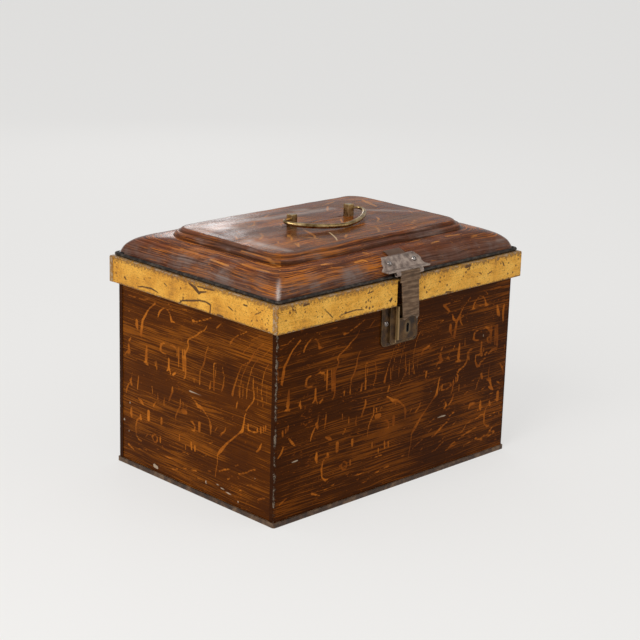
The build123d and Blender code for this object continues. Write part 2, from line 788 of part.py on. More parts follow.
# Staple brazed behind the strap: the bolt goes through its eye
staple_far = lock_face - staple_back_gap
tongue_back = staple_far - staple_wall - staple_clearance
tongue_front = tongue_back - tongue_depth
staple_low = bolt_level - staple_height / 2
staple_high = bolt_level + staple_height / 2
with BuildPart() as hasp_staple:
    with BuildSketch(Plane.YZ) as staple_plan:
        with BuildLine():
            Polyline(
                (strap_back(staple_low) + seam_gap, staple_low),
                (staple_far, staple_low),
                (staple_far, staple_high),
                (strap_back(staple_high) + seam_gap, staple_high),
                close=True,
            )
        make_face()
        fillet(staple_plan.vertices().sort_by(Axis.X)[-2:], staple_wall)
        with Locations((tongue_back + staple_clearance, bolt_level)):
            Rectangle(
                tongue_depth + 2 * staple_clearance,
                tongue_height + 2 * staple_clearance,
                align=(Align.MAX, Align.CENTER),
                mode=Mode.SUBTRACT,
            )
    extrude(amount=staple_thickness / 2, both=True)

# Box lock: back plate with a ledge that the bolt slides on
bolt_tip = staple_thickness / 2 + bolt_rest
bolt_low = bolt_level - bolt_height / 2
bolt_high = bolt_level + bolt_height / 2
with BuildPart() as lock_back:
    with BuildSketch(Plane.XZ.offset(half_y)) as lock_plan:
        with Locations((lock_left, lock_bottom)):
            Rectangle(lock_right - lock_left, lock_top - lock_bottom, align=(Align.MIN, Align.MIN))
        fillet(lock_plan.vertices().group_by(Axis.Y)[0], lock_corner)
        with Locations((keyhole_x, keyhole_z)):
            Circle(key_pin_radius + seam_gap, mode=Mode.SUBTRACT)
    extrude(amount=lock_plate)
    with BuildSketch(Plane.XZ.offset(-lock_face)):
        with Locations((mouth_right, bolt_low - bolt_gap)):
            Rectangle(case_right - case_sheet - seam_gap - mouth_right, case_sheet, align=(Align.MIN, Align.MAX))
    extrude(amount=lock_face - tongue_back - bolt_gap)
    for seat in lock_seats:
        rivet_hole(seat)

# Pressed case over it, stepped on the left, with the keyhole and a mouth for the staple
with BuildPart() as lock_case:
    with BuildSketch(Plane.XZ.offset(-lock_face)):
        with Locations((case_right, lock_top)):
            Rectangle(case_right - case_left, lock_top - case_bottom, align=(Align.MAX, Align.MAX))
    extrude(amount=case_depth)
    front = lock_case.faces().sort_by(Axis.Y)[0]
    fillet(front.edges().sort_by(Axis.Z)[:-1], case_round)
    with BuildSketch(Plane.XZ.offset(-lock_face)) as tray_plan:
        with Locations((case_right, lock_top)):
            Rectangle(case_right - tray_left, lock_top - tray_bottom, align=(Align.MAX, Align.MAX))
        fillet(tray_plan.vertices().group_by(Axis.Y)[0], lock_corner / 2)
    extrude(amount=tray_depth)
    with BuildSketch(Plane.XZ.offset(-lock_face)) as hollow_plan:
        with Locations((case_right - case_sheet, lock_top - case_sheet)):
            Rectangle(
                case_right - tray_left - 2 * case_sheet,
                lock_top - tray_bottom - 2 * case_sheet,
                align=(Align.MAX, Align.MAX),
            )
        fillet(hollow_plan.vertices().group_by(Axis.Y)[0], lock_corner / 2 - case_sheet)
    extrude(amount=tray_depth - case_sheet, mode=Mode.SUBTRACT)
    with BuildSketch(Plane.XZ.offset(-lock_face)):
        with Locations((case_right - case_sheet, lock_top - case_sheet)):
            Rectangle(
                case_right - case_left - 2 * case_sheet,
                lock_top - case_bottom - 2 * case_sheet,
                align=(Align.MAX, Align.MAX),
            )
    extrude(amount=case_depth - case_sheet, mode=Mode.SUBTRACT)
    with BuildSketch(Plane.XZ.offset(-lock_face)):
        with Locations((mouth_right, mouth_bottom)):
            Rectangle(mouth_right - case_left - case_sheet, lock_top, align=(Align.MAX, Align.MIN))
    extrude(amount=case_depth, mode=Mode.SUBTRACT)
    with BuildSketch(Plane.XZ.offset(-lock_face)):
        with Locations((keyhole_x, keyhole_z)):
            Circle(keyhole_radius)
            Rectangle(keyhole_slot, keyhole_length, align=(Align.CENTER, Align.MAX))
    extrude(amount=case_depth, mode=Mode.SUBTRACT)

with BuildPart() as lock_key_pin:
    with BuildSketch(Plane.XZ.offset(half_y)):
        with Locations((keyhole_x, keyhole_z)):
            Circle(key_pin_radius)
    extrude(amount=lock_plate + case_depth - case_sheet)

# Bolt, drawn back at rest: a block on the ledge, the tongue that enters the staple, and the tail that the key pushes
with BuildPart() as lock_bolt:
    with BuildSketch(Plane.XZ.offset(-lock_face + bolt_gap)):
        with Locations((bolt_tip + bolt_length, bolt_low)):
            Rectangle(bolt_length - bolt_travel, bolt_height, align=(Align.MAX, Align.MIN))
    extrude(amount=lock_face - tongue_front - bolt_gap)
    with BuildSketch(Plane.XZ.offset(-tongue_back)):
        with Locations((bolt_tip, bolt_level)):
            Rectangle(bolt_length, tongue_height, align=(Align.MIN, Align.CENTER))
        with Locations((bolt_tip + bolt_length, bolt_level)):
            Rectangle(bolt_tail_width, bolt_height / 2 + bolt_tail, align=(Align.MAX, Align.MAX))
    extrude(amount=tongue_depth)

# Leaf spring bowed between the case's top and the bolt
spring_sag = lock_top - case_sheet - bolt_high - 2 * bolt_gap - spring_thickness
spring_half = (case_right - case_sheet - mouth_right) / 2 - bolt_gap
spring_bow = (spring_half**2 + spring_sag**2) / (2 * spring_sag)
spring_turn = degrees(asin(spring_half / spring_bow))
with BuildPart() as lock_spring:
    with BuildSketch(Plane.XZ.offset(-lock_face + bolt_gap)):
        curl(
            (case_right - case_sheet + mouth_right) / 2,
            bolt_high + bolt_gap + spring_bow,
            spring_bow - spring_thickness,
            spring_bow,
            -90 - spring_turn,
            2 * spring_turn,
        )
    extrude(amount=case_depth - case_sheet - 2 * bolt_gap)

with BuildPart() as lock_rivets:
    for seat in lock_seats:
        rivet(seat, lock_plate + sheet)

# The pieces and their files
pieces = {
    "bottom_pan": bottom_pan.part,
    "front_panel": front_panel.part,
    "back_panel": back_panel.part,
    "left_panel": left_panel.part,
    "right_panel": right_panel.part,
    "rim_wire": rim_wire.part,
    "lid_front_skirt": lid_front_skirt.part,
    "lid_back_skirt": lid_back_skirt.part,
    "lid_left_skirt": lid_left_skirt.part,
    "lid_right_skirt": lid_right_skirt.part,
    "lid_dome": lid_dome.part,
    "lid_edge_wire": lid_edge_wire.part,
    "handle_post_left": posts[-1],
    "handle_post_right": posts[1],
    "handle_washers": handle_washers.part,
    "handle_nuts": handle_nuts.part,
    "handle_bail": handle_bail.part,
    "hinge_left_lid_leaf": hinges["left"]["lid_leaf"],
    "hinge_left_body_leaf": hinges["left"]["body_leaf"],
    "hinge_left_pin": hinges["left"]["pin"],
    "hinge_right_lid_leaf": hinges["right"]["lid_leaf"],
    "hinge_right_body_leaf": hinges["right"]["body_leaf"],
    "hinge_right_pin": hinges["right"]["pin"],
    "hinge_lid_rivets": hinge_lid_rivets.part,
    "hinge_body_rivets": hinge_body_rivets.part,
    "hasp_leaf": hasp_leaf.part,
    "hasp_leaf_rivets": hasp_leaf_rivets.part,
    "hasp_pin": hasp_pin.part,
    "hasp_strap": hasp_strap.part,
    "hasp_staple": hasp_staple.part,
    "lock_plate": lock_back.part,
    "lock_case": lock_case.part,
    "lock_key_pin": lock_key_pin.part,
    "lock_bolt": lock_bolt.part,
    "lock_spring": lock_spring.part,
    "lock_rivets": lock_rivets.part,
}
for name, piece in pieces.items():
    piece.label = name
    export_step(piece, f"parts/{name}.step")
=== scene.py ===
import bpy
import bmesh
import numpy as np
from math import cos, radians, sin
from mathutils import Matrix, Vector, noise


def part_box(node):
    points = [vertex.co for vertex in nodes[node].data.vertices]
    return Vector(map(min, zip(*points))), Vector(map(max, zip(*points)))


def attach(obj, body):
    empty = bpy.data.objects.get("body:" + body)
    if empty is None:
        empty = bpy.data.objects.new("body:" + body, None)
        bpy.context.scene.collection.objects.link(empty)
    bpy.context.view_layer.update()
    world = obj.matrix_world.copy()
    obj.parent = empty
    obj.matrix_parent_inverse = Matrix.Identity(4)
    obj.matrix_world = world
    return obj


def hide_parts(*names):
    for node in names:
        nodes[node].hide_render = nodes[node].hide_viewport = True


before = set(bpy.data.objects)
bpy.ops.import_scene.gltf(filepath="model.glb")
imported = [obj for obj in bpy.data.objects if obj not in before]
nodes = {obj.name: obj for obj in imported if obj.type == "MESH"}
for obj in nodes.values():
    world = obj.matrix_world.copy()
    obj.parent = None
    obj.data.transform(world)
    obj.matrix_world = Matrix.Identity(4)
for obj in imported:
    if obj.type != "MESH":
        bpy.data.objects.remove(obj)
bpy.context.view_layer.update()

mm = 0.001
scene = bpy.context.scene
scene.view_settings.view_transform = "Standard"
print("frame loaded:", len(nodes), "nodes")

# Millimetres that several pieces share
halfWidth, halfDepth = 178.0, 125.0
skirtHalfWidth, skirtHalfDepth = 185.2, 132.2
ledge, skirtFoot = 233.2, 204.8


# An sRGB hex colour as Blender's linear colour
def tint(code):
    parts = [int(code[i:i + 2], 16) / 255 for i in (1, 3, 5)]
    return tuple(p / 12.92 if p <= 0.04045 else ((p + 0.055) / 1.055) ** 2.4 for p in parts) + (1.0,)


blend = {"data_type": "RGBA"}


# An empty material and the one way to add nodes to it. Settings are a dictionary or the name of an operation.
# An input is a value, a hex colour, a node or a (node, output) pair, and its name is the socket's, or i and
# the socket's number. A ramp's stops, the two outer ones first, are hex colours or greys.
def startMaterial(name):
    material = bpy.data.materials.new(name)
    material.use_nodes = True
    material.node_tree.nodes.clear()

    def add(kind, settings=None, stops=(), **inputs):
        node = material.node_tree.nodes.new("ShaderNode" + kind)
        if isinstance(settings, str):
            settings = {"operation": settings}
        for key, value in (settings or {}).items():
            setattr(node, key, value)
        for index, (position, colour) in enumerate(stops):
            ramp = node.color_ramp.elements
            stop = ramp[index] if index < 2 else ramp.new(position)
            stop.position = position
            stop.color = tint(colour) if isinstance(colour, str) else (colour,) * 3 + (1,)
        for key, value in inputs.items():
            numbered = key[0] == "i" and key[1:].isdigit()
            socket = node.inputs[int(key[1:]) if numbered else key.replace("_", " ")]
            if isinstance(value, str):
                value = tint(value)
            if isinstance(value, bpy.types.Node):
                value = (value, 0)
            if isinstance(value, tuple) and isinstance(value[0], bpy.types.Node):
                material.node_tree.links.new(value[0].outputs[value[1]], socket)
            else:
                socket.default_value = value
        # A blend of colours gives its colour, which is the third output
        return (node, 2) if settings is blend else node

    return material, add


# Object coordinates, plain and in millimetres, the latter turned for a side that runs along Y
def objectPlace(add, turned=False):
    place = (add("TexCoord"), "Object")
    turn = (0, 0, radians(-90) if turned else 0)
    return place, add("Mapping", Vector=place, Scale=(1000, 1000, 1000), Rotation=turn)


# A noise drawn out into streaks, so long in X and so wide in Z
def streaks(add, place, length, width, depth=0.02, shift=(0, 0, 0), **look):
    drawn = add("Mapping", Vector=place, Scale=(1 / length, depth, 1 / width), Location=shift)
    return add("TexNoise", Vector=drawn, Scale=1.0, **look)


# The end of an opaque finish: gloss that varies with the patches, and a relief
def surface(add, look, colour, patches, relief, strength, spread=(0.08, 0.12), height=0.0003):
    smoothest, roughest = look["roughness"] - spread[0], look["roughness"] + spread[1]
    rough = add("MapRange", Value=patches, From_Min=0.3, From_Max=0.7, To_Min=smoothest, To_Max=roughest)
    bump = add("Bump", Height=relief, Strength=strength, Distance=height)
    shader = add("BsdfPrincipled", Base_Color=colour, Roughness=rough, Normal=bump,
        Metallic=look.get("metal", 0.0), Specular_IOR_Level=look.get("gloss", 0.5),
        Specular_Tint=look.get("glossTint", "#ffffff"))
    add("OutputMaterial", Surface=shader)


# Oil graining: brown glaze combed over an ochre ground on japanned tinplate, under a satin varnish.
# To the eye it is dark red-brown with fine level streaks, and bright orange flecks where the glaze was wiped
# away. Lengths are millimetres.
graining = {
    "combDark": "#361500", "combMid": "#4d2300", "combLight": "#5d2d02", "fineLine": "#92500e",
    "fleck": "#bd6c1c", "fleckDeep": "#85440c", "grimeAndShade": "#2a1207", "bareMetal": "#8b7c6b",
    "bareDark": "#3f342a", "lacquer": "#3a2712", "lacquerWorn": "#6b5233", "scrape": "#b3a18a",
    "streakLength": 80.0, "streakWidth": 0.8, "hairLength": 45.0, "sway": 2.5, "strayLength": 4.5,
    "strayWidth": 1.7, "strayFrom": 0.845, "roughness": 0.34, "gloss": 0.05,
    "glossTint": (1.0, 0.72, 0.45, 1.0),
}
# The long sides are given darker colours than the ends: painted shade
shadedLongSides = {
    **graining, "combDark": "#2c1000", "combMid": "#3e1a00", "combLight": "#4f2501", "fineLine": "#84450b",
    "fleck": "#b5641a", "fleckDeep": "#7c3d0a", "strayFrom": 0.825,
}


# The combed glaze: place is in millimetres, X along the strokes and Z across them
def combedGlaze(add, look, place, seed):
    moved = add("VectorMath", "ADD", i0=place, i1=(seed, seed * 1.7, seed * 0.6))
    swayNoise = add("TexNoise", Vector=moved, Scale=0.012, Detail=2.0, Roughness=0.5)
    swayed = add("VectorMath", "MULTIPLY_ADD", i0=(swayNoise, "Color"), i1=(0, 0, look["sway"] * 2), i2=moved)
    # An oak comb has about a tooth a millimetre
    comb = streaks(add, swayed, look["streakLength"], look["streakWidth"], Detail=4.0, Roughness=0.62)
    bands = streaks(add, swayed, 260, 9, depth=0.01, Detail=3.0, Roughness=0.55)
    together = add("Math", "MULTIPLY_ADD", i0=bands, i1=0.36, i2=comb)
    glaze = add("ValToRGB",
        stops=[(0.49, look["combDark"]), (0.92, look["combLight"]), (0.69, look["combMid"])], Fac=together)
    # Fine bright comb lines, in groups
    hair = streaks(add, swayed, look["hairLength"], 0.9, shift=(7, 3, 11))
    group = streaks(add, swayed, 90, 28, shift=(2, 5, 1), Detail=1.0)
    hairSum = add("Math", "MULTIPLY_ADD", i0=group, i1=0.6, i2=hair)
    hairMask = add("MapRange", Value=hairSum, From_Min=0.835, From_Max=0.945, To_Max=0.7)
    lined = add("Mix", blend, i0=hairMask, i6=glaze, i7=look["fineLine"])
    # Wiped flecks: the mesh carries their distance in millimetres, and a little noise frays their edges
    fray = add("TexNoise", Vector=moved, Scale=0.8, Detail=2.0)
    wiped = add("Attribute", {"attribute_name": "wiped"})
    frayed = add("Math", "MULTIPLY_ADD", i0=fray, i1=1.2, i2=(wiped, "Fac"))
    fleckMask = add("MapRange", {"interpolation_type": "SMOOTHSTEP"}, Value=frayed, From_Min=1.05,
        From_Max=0.2, To_Max=0.92)
    fading = add("TexNoise", Vector=moved, Scale=0.035, Detail=3.0)
    uneven = add("Math", "MULTIPLY_ADD", i0=comb, i1=0.6, i2=fading)
    fleckColour = add("ValToRGB", stops=[(0.66, look["fleckDeep"]), (0.96, look["fleck"])], Fac=uneven)
    # Small stray flecks, a few millimetres long
    stray = streaks(add, swayed, look["strayLength"], look["strayWidth"], depth=0.05, shift=(5, 1, 9),
        Detail=1.5, Distortion=0.5)
    straySum = add("Math", "MULTIPLY_ADD", i0=fading, i1=0.35, i2=stray)
    strayMask = add("MapRange", Value=straySum, From_Min=look["strayFrom"],
        From_Max=look["strayFrom"] + 0.085, To_Max=0.8)
    strayed = add("Mix", blend, i0=strayMask, i6=lined, i7=look["fleckDeep"])
    flecked = add("Mix", blend, i0=fleckMask, i6=strayed, i7=fleckColour)
    # Grime in the varnish
    cloud = add("TexNoise", Vector=moved, Scale=0.02, Detail=5.0, Roughness=0.6)
    grimeMask = add("MapRange", Value=cloud, From_Min=0.46, From_Max=0.78, To_Max=0.6)
    grimed = add("Mix", blend, i0=grimeMask, i6=flecked, i7=look["grimeAndShade"])
    return {"colour": grimed, "comb": comb, "fray": fray, "cloud": cloud}


# Plain brown lacquer, inside the box
def brownLacquer(add, patches):
    return add("Mix", blend, i0=patches, i6=graining["lacquer"], i7=graining["lacquerWorn"])


# A wall's face that is nearer to the box's middle than this is its inside
wallInside = (177.05, 124.7, 0)


def grainedTin(name, turned, seed):
    look = graining if turned else shadedLongSides
    material, add = startMaterial(name)
    place, flat = objectPlace(add, turned)
    paint = combedGlaze(add, look, flat, seed)
    fray, cloud = paint["fray"], paint["cloud"]
    # Bare metal along the folded corners, with a ragged edge
    plain = add("VectorMath", "ABSOLUTE", i0=place)
    fromCorner = add("VectorMath", "MULTIPLY_ADD", i0=plain, i1=(-1000, -1000, 0),
        i2=(halfWidth, halfDepth, 0))
    cornerGap = add("VectorMath", "LENGTH", i0=fromCorner)
    ragged = add("TexNoise", Vector=flat, Scale=0.16, Detail=7.0, Roughness=0.72)
    wearEdge = add("Math", "MULTIPLY_ADD", i0=ragged, i1=-13.0, i2=(cornerGap, "Value"))
    darkEdge = add("MapRange", Value=wearEdge, From_Min=-3.0, From_Max=-5.0, To_Max=0.6)
    wearMask = add("MapRange", Value=wearEdge, From_Min=-5.3, From_Max=-6.4, To_Max=0.85)
    metal = add("ValToRGB", stops=[(0.42, look["bareDark"]), (0.62, look["bareMetal"])], Fac=fray)
    # The folded laps at the ends weren't grained
    facing = add("NewGeometry")
    facings = add("SeparateXYZ", Vector=(facing, "Normal"))
    sideways = add("Math", "ABSOLUTE", i0=(facings, "Y" if turned else "X"))
    lapMask = add("MapRange", Value=sideways, From_Min=0.5, From_Max=0.9, To_Max=0.85)
    lapped = add("Mix", blend, i0=lapMask, i6=paint["colour"], i7=look["combDark"])
    edged = add("Mix", blend, i0=darkEdge, i6=lapped, i7=look["grimeAndShade"])
    worn = add("Mix", blend, i0=wearMask, i6=edged, i7=metal)
    # Scratches and chips down to the tin
    scraped = add("Attribute", {"attribute_name": "scraped"})
    scrapeMask = add("MapRange", Value=(scraped, "Fac"), From_Min=0.55, From_Max=0.0, To_Max=0.85)
    scratched = add("Mix", blend, i0=scrapeMask, i6=worn, i7=look["scrape"])
    # The inside is lacquered
    fromFace = add("VectorMath", "MULTIPLY_ADD", i0=plain, i1=(-1000, -1000, 0), i2=wallInside)
    fromFaces = add("SeparateXYZ", Vector=fromFace)
    nearest = add("Math", "MINIMUM", i0=(fromFaces, "X"), i1=(fromFaces, "Y"))
    inside = add("Math", "GREATER_THAN", i0=nearest, i1=0.0)
    coloured = add("Mix", blend, i0=inside, i6=scratched, i7=brownLacquer(add, cloud))
    relief = add("Math", "MULTIPLY_ADD", i0=fray, i1=0.5, i2=paint["comb"])
    surface(add, look, coloured, cloud, relief, strength=0.25)
    return material


# The marks of one graining pattern, seen from outside: millimetres from the panel's left end, height,
# half width.
# The grainer wiped the same two bands of marks on every side, the lower band shifted against the upper one.
upperMarks = [
    [(61, 193, 1.2), (56, 189, .7), (51, 185, .7), (47, 180, 1), (44, 175, 1.3), (40, 170, 1.4),
    (39, 163, 1.9), (37, 153, 1.6), (38, 151, .8)], [(30, 167, 2), (30, 162, 2.2), (32, 157, .7)],
    [(66, 180, .9), (68, 185, 1.1), (72, 189, .8), (77, 192, .7), (83, 190, .7), (86, 186, .8),
    (88, 180, 1.6), (94, 180, .6)], [(82, 198, .6), (87, 195, .6), (90, 192, .6)],
    [(120, 190, .5), (123, 188, 1.6), (127, 187.5, .6), (132, 190, .6), (141, 193, .8), (152, 198, .6)],
    [(145, 188, .5), (141, 182, .6), (132, 177, .9), (129, 174, .8), (122, 170, .8), (116, 167, .9),
    (114, 163, 1), (116, 160, .8), (114, 155, .8), (111, 151, 1.2)],
    [(100, 154, 1), (100, 142, 1.1), (100, 132, .6)], [(106, 153, .9), (107, 142, 1.2), (107.5, 131, 1)],
    [(109.5, 153, 1.4), (110.5, 143, 1.9), (111, 131, 1.6)], [(112, 132, .8), (111, 125, .9), (108, 121, .6)],
    [(97, 152, .6), (97, 143, .6)],
    [(77, 153, .8), (71, 151, 1.2), (70, 144, 1.5), (73, 142, .9), (79, 141, 1)],
    [(86, 153, .6), (90, 154, 1.2), (95, 152, 1.4)], [(84, 138, 1.2), (84, 127, 1.3), (80, 123, .6)],
    [(85, 127, 1), (87, 121, .7)], [(91, 122, 1.4), (95, 125, .8)], [(63, 130, .7), (64, 121, 1)],
    [(60, 130, .5), (61, 124, .6)], [(47, 144, .8), (46.5, 137, 1.6), (46, 128, 2.3)],
    [(42, 123.5, 1), (49, 123, 1.3)], [(17, 142, 1.4), (20, 146, .6)],
    [(16, 137, 1.5), (17, 129, 2.2), (12, 128, .8), (9, 124, .5)], [(147, 166, .5), (143, 158, .7),
    (142, 151, 1), (139, 143, 1), (135, 138, .8), (134, 132, .6), (134, 122, .9)],
    [(123, 127, .5), (127, 127, .5)], [(125, 127, .7), (125, 122, .6)],
    [(160, 152, .5), (156, 150, .6), (156, 137, .7), (156.5, 122, 1.1)],
    [(160, 150, .4), (158, 135, .5), (156, 124, .6)], [(151.5, 130, .6), (150, 122, 1.3)],
    [(169, 150, .5), (172, 140, .5), (171, 130, 1), (168, 123, .6)], [(230, 189, .5), (217, 177, .6),
    (209, 165, .5), (198, 158, .5), (193, 147, .6), (189, 137, .8), (186, 129, 1.2), (185, 124, 1.6)],
    [(224, 180, .5), (214, 170, .5), (206, 160, .5), (199, 147, .5), (197, 137, .5), (196, 123, .5)],
    [(232, 177, .5), (221, 170, .5), (214, 160, .5), (210, 148, .5), (207, 137, .5), (206, 124, .5)],
    [(216, 150, .5), (216, 140, .6), (218, 130, .8), (216, 125, .7), (211, 119, .6), (206, 113, .7)],
    [(238, 170, .5), (232, 160, .5), (229, 148, .5), (228, 137, .6), (230, 128, .6), (231, 123, .6)],
    [(236, 147, .5), (236, 127, .5)], [(222, 143, .5), (223, 123, .5)], [(194, 138, .5), (194, 125, .5)],
    [(201, 140, .4), (201, 125, .4)], [(193, 189, .6), (187, 185, .5), (180, 178, .8)],
    [(206, 196, .5), (196, 190, .5)], [(167, 195, .5), (163, 192, .9), (159, 188, .5)],
    [(184, 182, .9), (181, 177, .7)], [(216, 186, .4), (205, 178, .5), (198, 170, .4)],
    [(226, 196, .5), (212, 188, .4)], [(240, 186, .5), (230, 176, .4)], [(193, 119, .8), (191, 112, 1)],
    [(16, 193, .6), (24, 192, .7), (31, 194, .6)], [(20, 183, .6), (26, 182, .8)],
    [(14, 174, .7), (18, 175, .7)], [(34, 193, .6), (44, 193, .7), (52, 197, .5)],
    [(100, 196, .6), (112, 197, .6)],
]
lowerMarks = [
    [(206, 110, .6), (204, 106, .8), (203, 99, 1), (201, 90, 1.8), (196, 86, .8), (186, 77, .8),
    (179, 71, 1.1), (175, 67, 1.3), (168, 59, 2), (163, 53, .8)],
    [(163, 53, .6), (163, 43, .5), (161, 35, .9), (160, 27, .4)],
    [(209, 99, .9), (223, 99, .9), (224, 95, .9), (216, 92.5, .8), (209.5, 93, .9), (209, 99, .9)],
    [(228, 101, 1.2), (228.5, 95, 1)], [(232, 103, .9), (232.5, 98, .8)], [(235.5, 105, 1), (235, 99, .8)],
    [(206, 98, .5), (206, 93, .5)], [(230, 85, .6), (227, 78, 1.3), (222, 73, .6)], [(122, 105, .8),
    (127, 102, .8), (132, 98, 2), (139, 97, 1.1), (144, 93, .9), (150, 88, .9), (152, 82, 1.7),
    (152, 72, .7)], [(135, 100, .6), (136, 93, .6)], [(162, 83, .6), (159, 78, .6)],
    [(176, 87, .5), (174, 82, .8), (168, 77, 1.2)], [(90, 108, 1), (90, 103, 1.4), (86, 95, 1), (84, 90, .8)],
    [(77, 93, .6), (76, 87, 1), (77, 83, .6)],
    [(103, 98, .7), (103, 90, .8), (99, 84, 1), (96, 78, .9), (95, 72, .6), (95, 67, .5)],
    [(107, 86, 2.6), (112, 86, 2.6)], [(106, 95, .8), (116, 94, .8)], [(107.5, 94, .5), (107.5, 91, .5)],
    [(113, 95, .7), (113, 90, .5)],
    [(119, 79, .7), (123, 78, 1.3), (127, 74, 1), (126.5, 69, .8), (121, 68.5, .7)],
    [(134, 80, 1.9), (134, 71, 1.7)], [(33, 106, .6), (32, 99, 1), (31, 90, .6)],
    [(19, 98, 1.7), (21, 93, 1.5)], [(17, 94, .8), (13, 88, 1), (11, 81, .6)], [(22, 108, .4), (21, 100, .5)],
    [(33, 80, .9), (38, 78, 2.1), (41.5, 75, .7)], [(50, 70, 2.2), (50, 61, 2)],
    [(72, 68, 1.7), (72, 62, 1.6)], [(58, 78, .8), (62, 84, .7)], [(66, 95, .6), (66, 88, .9)],
    [(56, 100, .7), (57, 92, .5)], [(20.5, 66, 1.2), (20, 60, 2), (21.5, 55, .8)],
    [(36, 63, .9), (37, 58, 1.8)],
    [(35, 59, .9), (30, 55, .9), (28, 47, 1.2), (29, 37, .7), (34, 33, 1.2), (38, 33, .9)], [(57, 45, .9),
    (61, 47, .9), (65, 45, .9), (65, 41, .9), (63, 38, .9), (59, 38.5, .9), (57, 42, .9), (57, 45, .9)],
    [(70, 46, 1.3), (70, 41, 1.2)], [(54, 45, .6), (55, 42, .5)], [(15, 23, 1.3), (22, 20, .9), (27, 18, .5)],
    [(31, 22, .5), (40, 24, .6), (47, 25, .5)], [(102, 58, .9), (102, 52, .8)],
    [(121, 55, 1.1), (122, 47, 1)], [(127, 53, 1), (127.5, 47, 1)], [(112, 50, .6), (112, 44, .6)],
    [(77, 28, .6), (84, 27, .7), (92, 28, .6)], [(87, 15, .6), (96, 17, .8), (101, 20, .5)],
    [(108, 22, .8), (114, 23, .8)], [(122, 24, .9), (131, 26, .9)], [(132, 18, .6), (141, 19, .6)],
    [(149, 31, .9), (154, 32.5, .8)], [(166, 36, .7), (174, 40, .9), (184, 44, .5)],
    [(179, 31, .8), (183, 33, .8)], [(191, 49, .6), (196, 52, .6)],
    [(196, 42, .7), (204, 45, .9), (210, 48, .8), (214, 51, .7), (221, 54, .9)],
    [(197, 24, .7), (202, 26, .6)], [(226, 23, 1), (232, 26, 1), (237, 28, .5)],
    [(104, 39, .6), (112, 41, .7), (118, 40, .5)], [(140, 45, .6), (146, 47, .6)],
    [(60, 30, .5), (68, 32, .6)], [(45, 40, .4), (49, 44, .5)], [(150, 62, .6), (155, 64, .8)],
    [(208, 33, .5), (216, 36, .6)],
]
# Marks that only the long front has, at its right
frontMarks = [
    [(244, 189, 1), (249, 186, 1.4), (254, 181, .9)],
    [(259, 177, .7), (261, 171, 1.4), (267, 168, .9), (272, 171, 1), (277, 172, 1.2)],
    [(272, 171, 1), (273, 166, 1.1), (276, 162, .6)], [(334, 174, 1.2), (337, 164, 2.6), (339, 161, .9)],
    [(346, 173, 1), (345, 163, 1.8), (346, 154, 1.2)], [(212, 141, 1.4), (214, 146, 1.2), (223, 148, 1.4)],
    [(259, 152, .9), (265, 151, .9)], [(239, 133, .8), (243, 131, 1.5), (247, 127, .7)],
    [(251, 127, .6), (255, 129, 1.4), (258, 126, .7)], [(221, 120, 1.4), (220, 113, .7)],
    [(239, 119, .8), (242, 120, .9)],
    [(289, 123, .6), (286, 117, 1.3), (282, 113, 1), (275, 111, 1.4), (271, 106, .6)],
    [(288, 129, 1.2), (294, 131, 1.6)], [(321, 148, 1.2), (327, 147, 1.6)],
    [(320, 139, 1.1), (326, 139, 1.1), (327, 134, 1.1), (322, 133, 1.1), (320, 138, 1.1)],
    [(302, 122, .9), (301, 116, .8), (305, 109, 1.5), (309, 109, 1.6), (311, 113, .9)],
    [(302, 123, .8), (311, 121, 1), (312, 119, .7)], [(309, 129, .9), (309, 124, .7)],
    [(315, 128, .8), (315, 124, .8)], [(313, 113, 1.2), (319, 116, .9)],
    [(323, 119, .7), (329, 123, 1.8), (336, 124, 1.2)], [(345, 104, .8), (349, 99, 1.4), (352, 96, .7)],
    [(322, 90, .9), (328, 89, 2.2), (332, 79, .9)], [(254, 79, .7), (256, 74, 1.3), (252, 70, .6)],
    [(294, 61, .6), (297, 66, 2), (304, 66, 1.2)], [(286, 176, .6), (304, 179, .8), (318, 178.5, .6)],
    [(250, 51, .5), (244, 47, .9), (239, 43, 1)], [(259, 21, .9), (276, 24, 1)],
    [(276, 35, .8), (285, 36, .9), (292, 44, .6), (299, 46, .8)],
    [(279, 29, .8), (292, 33, .9), (309, 36, 1)], [(289, 19, 1), (305, 22, .7)],
    [(316, 20, .8), (325, 23, .8)], [(328, 19, .7), (342, 23, .7)],
    [(332, 26, .9), (338, 30, .8), (345, 31, .6)], [(241, 25, .7), (248, 29, .8), (256, 33, .6)],
    [(19, 91, .8), (24, 85, 1.5), (28, 81, .7)], [(310, 56, .6), (318, 58, .7)],
    [(230, 60, .5), (240, 64, .6)], [(262, 60, .6), (270, 63, .8)], [(268, 48, .5), (274, 51, .7)],
    [(306, 46, .6), (316, 49, .9), (324, 50, .5)], [(330, 44, .6), (340, 47, .8)],
    [(334, 60, .5), (342, 63, .7)], [(346, 52, .5), (351, 55, .8)], [(326, 70, .5), (336, 72, .7)],
    [(262, 98, .6), (266, 92, 1), (263, 86, .6)], [(276, 94, .5), (276, 86, .7)],
    [(296, 92, .5), (303, 95, .8)], [(310, 78, .6), (318, 80, .9)],
    [(286, 80, .5), (292, 83, .8), (299, 83, .5)], [(340, 84, .6), (346, 81, .9)],
    [(262, 136, .6), (266, 141, .8)], [(282, 146, .6), (282, 138, .8)], [(292, 152, .5), (300, 155, .7)],
    [(344, 130, .6), (350, 133, .8)],
]
# Scratches and chips
leftScrapes = [[(162, 21, .3), (172, 18, .5), (186, 15, .6)], [(196, 11, 1)], [(60, 11, 1.8), (65, 10, 1.4)],
    [(8, 50, 1.2)], [(18, 72, 1)], [(16, 39, .9)], [(145, 19, .7), (146, 16, .5)], [(221, 44, .8)],
    [(118, 111, .4), (140, 110, .4)]]
frontScrapes = [[(243, 63, .4), (251, 63, .8), (256, 62, .3)], [(313, 143, 1)], [(24, 64, .5), (32, 65, .4)],
    [(230, 96, .4)]]


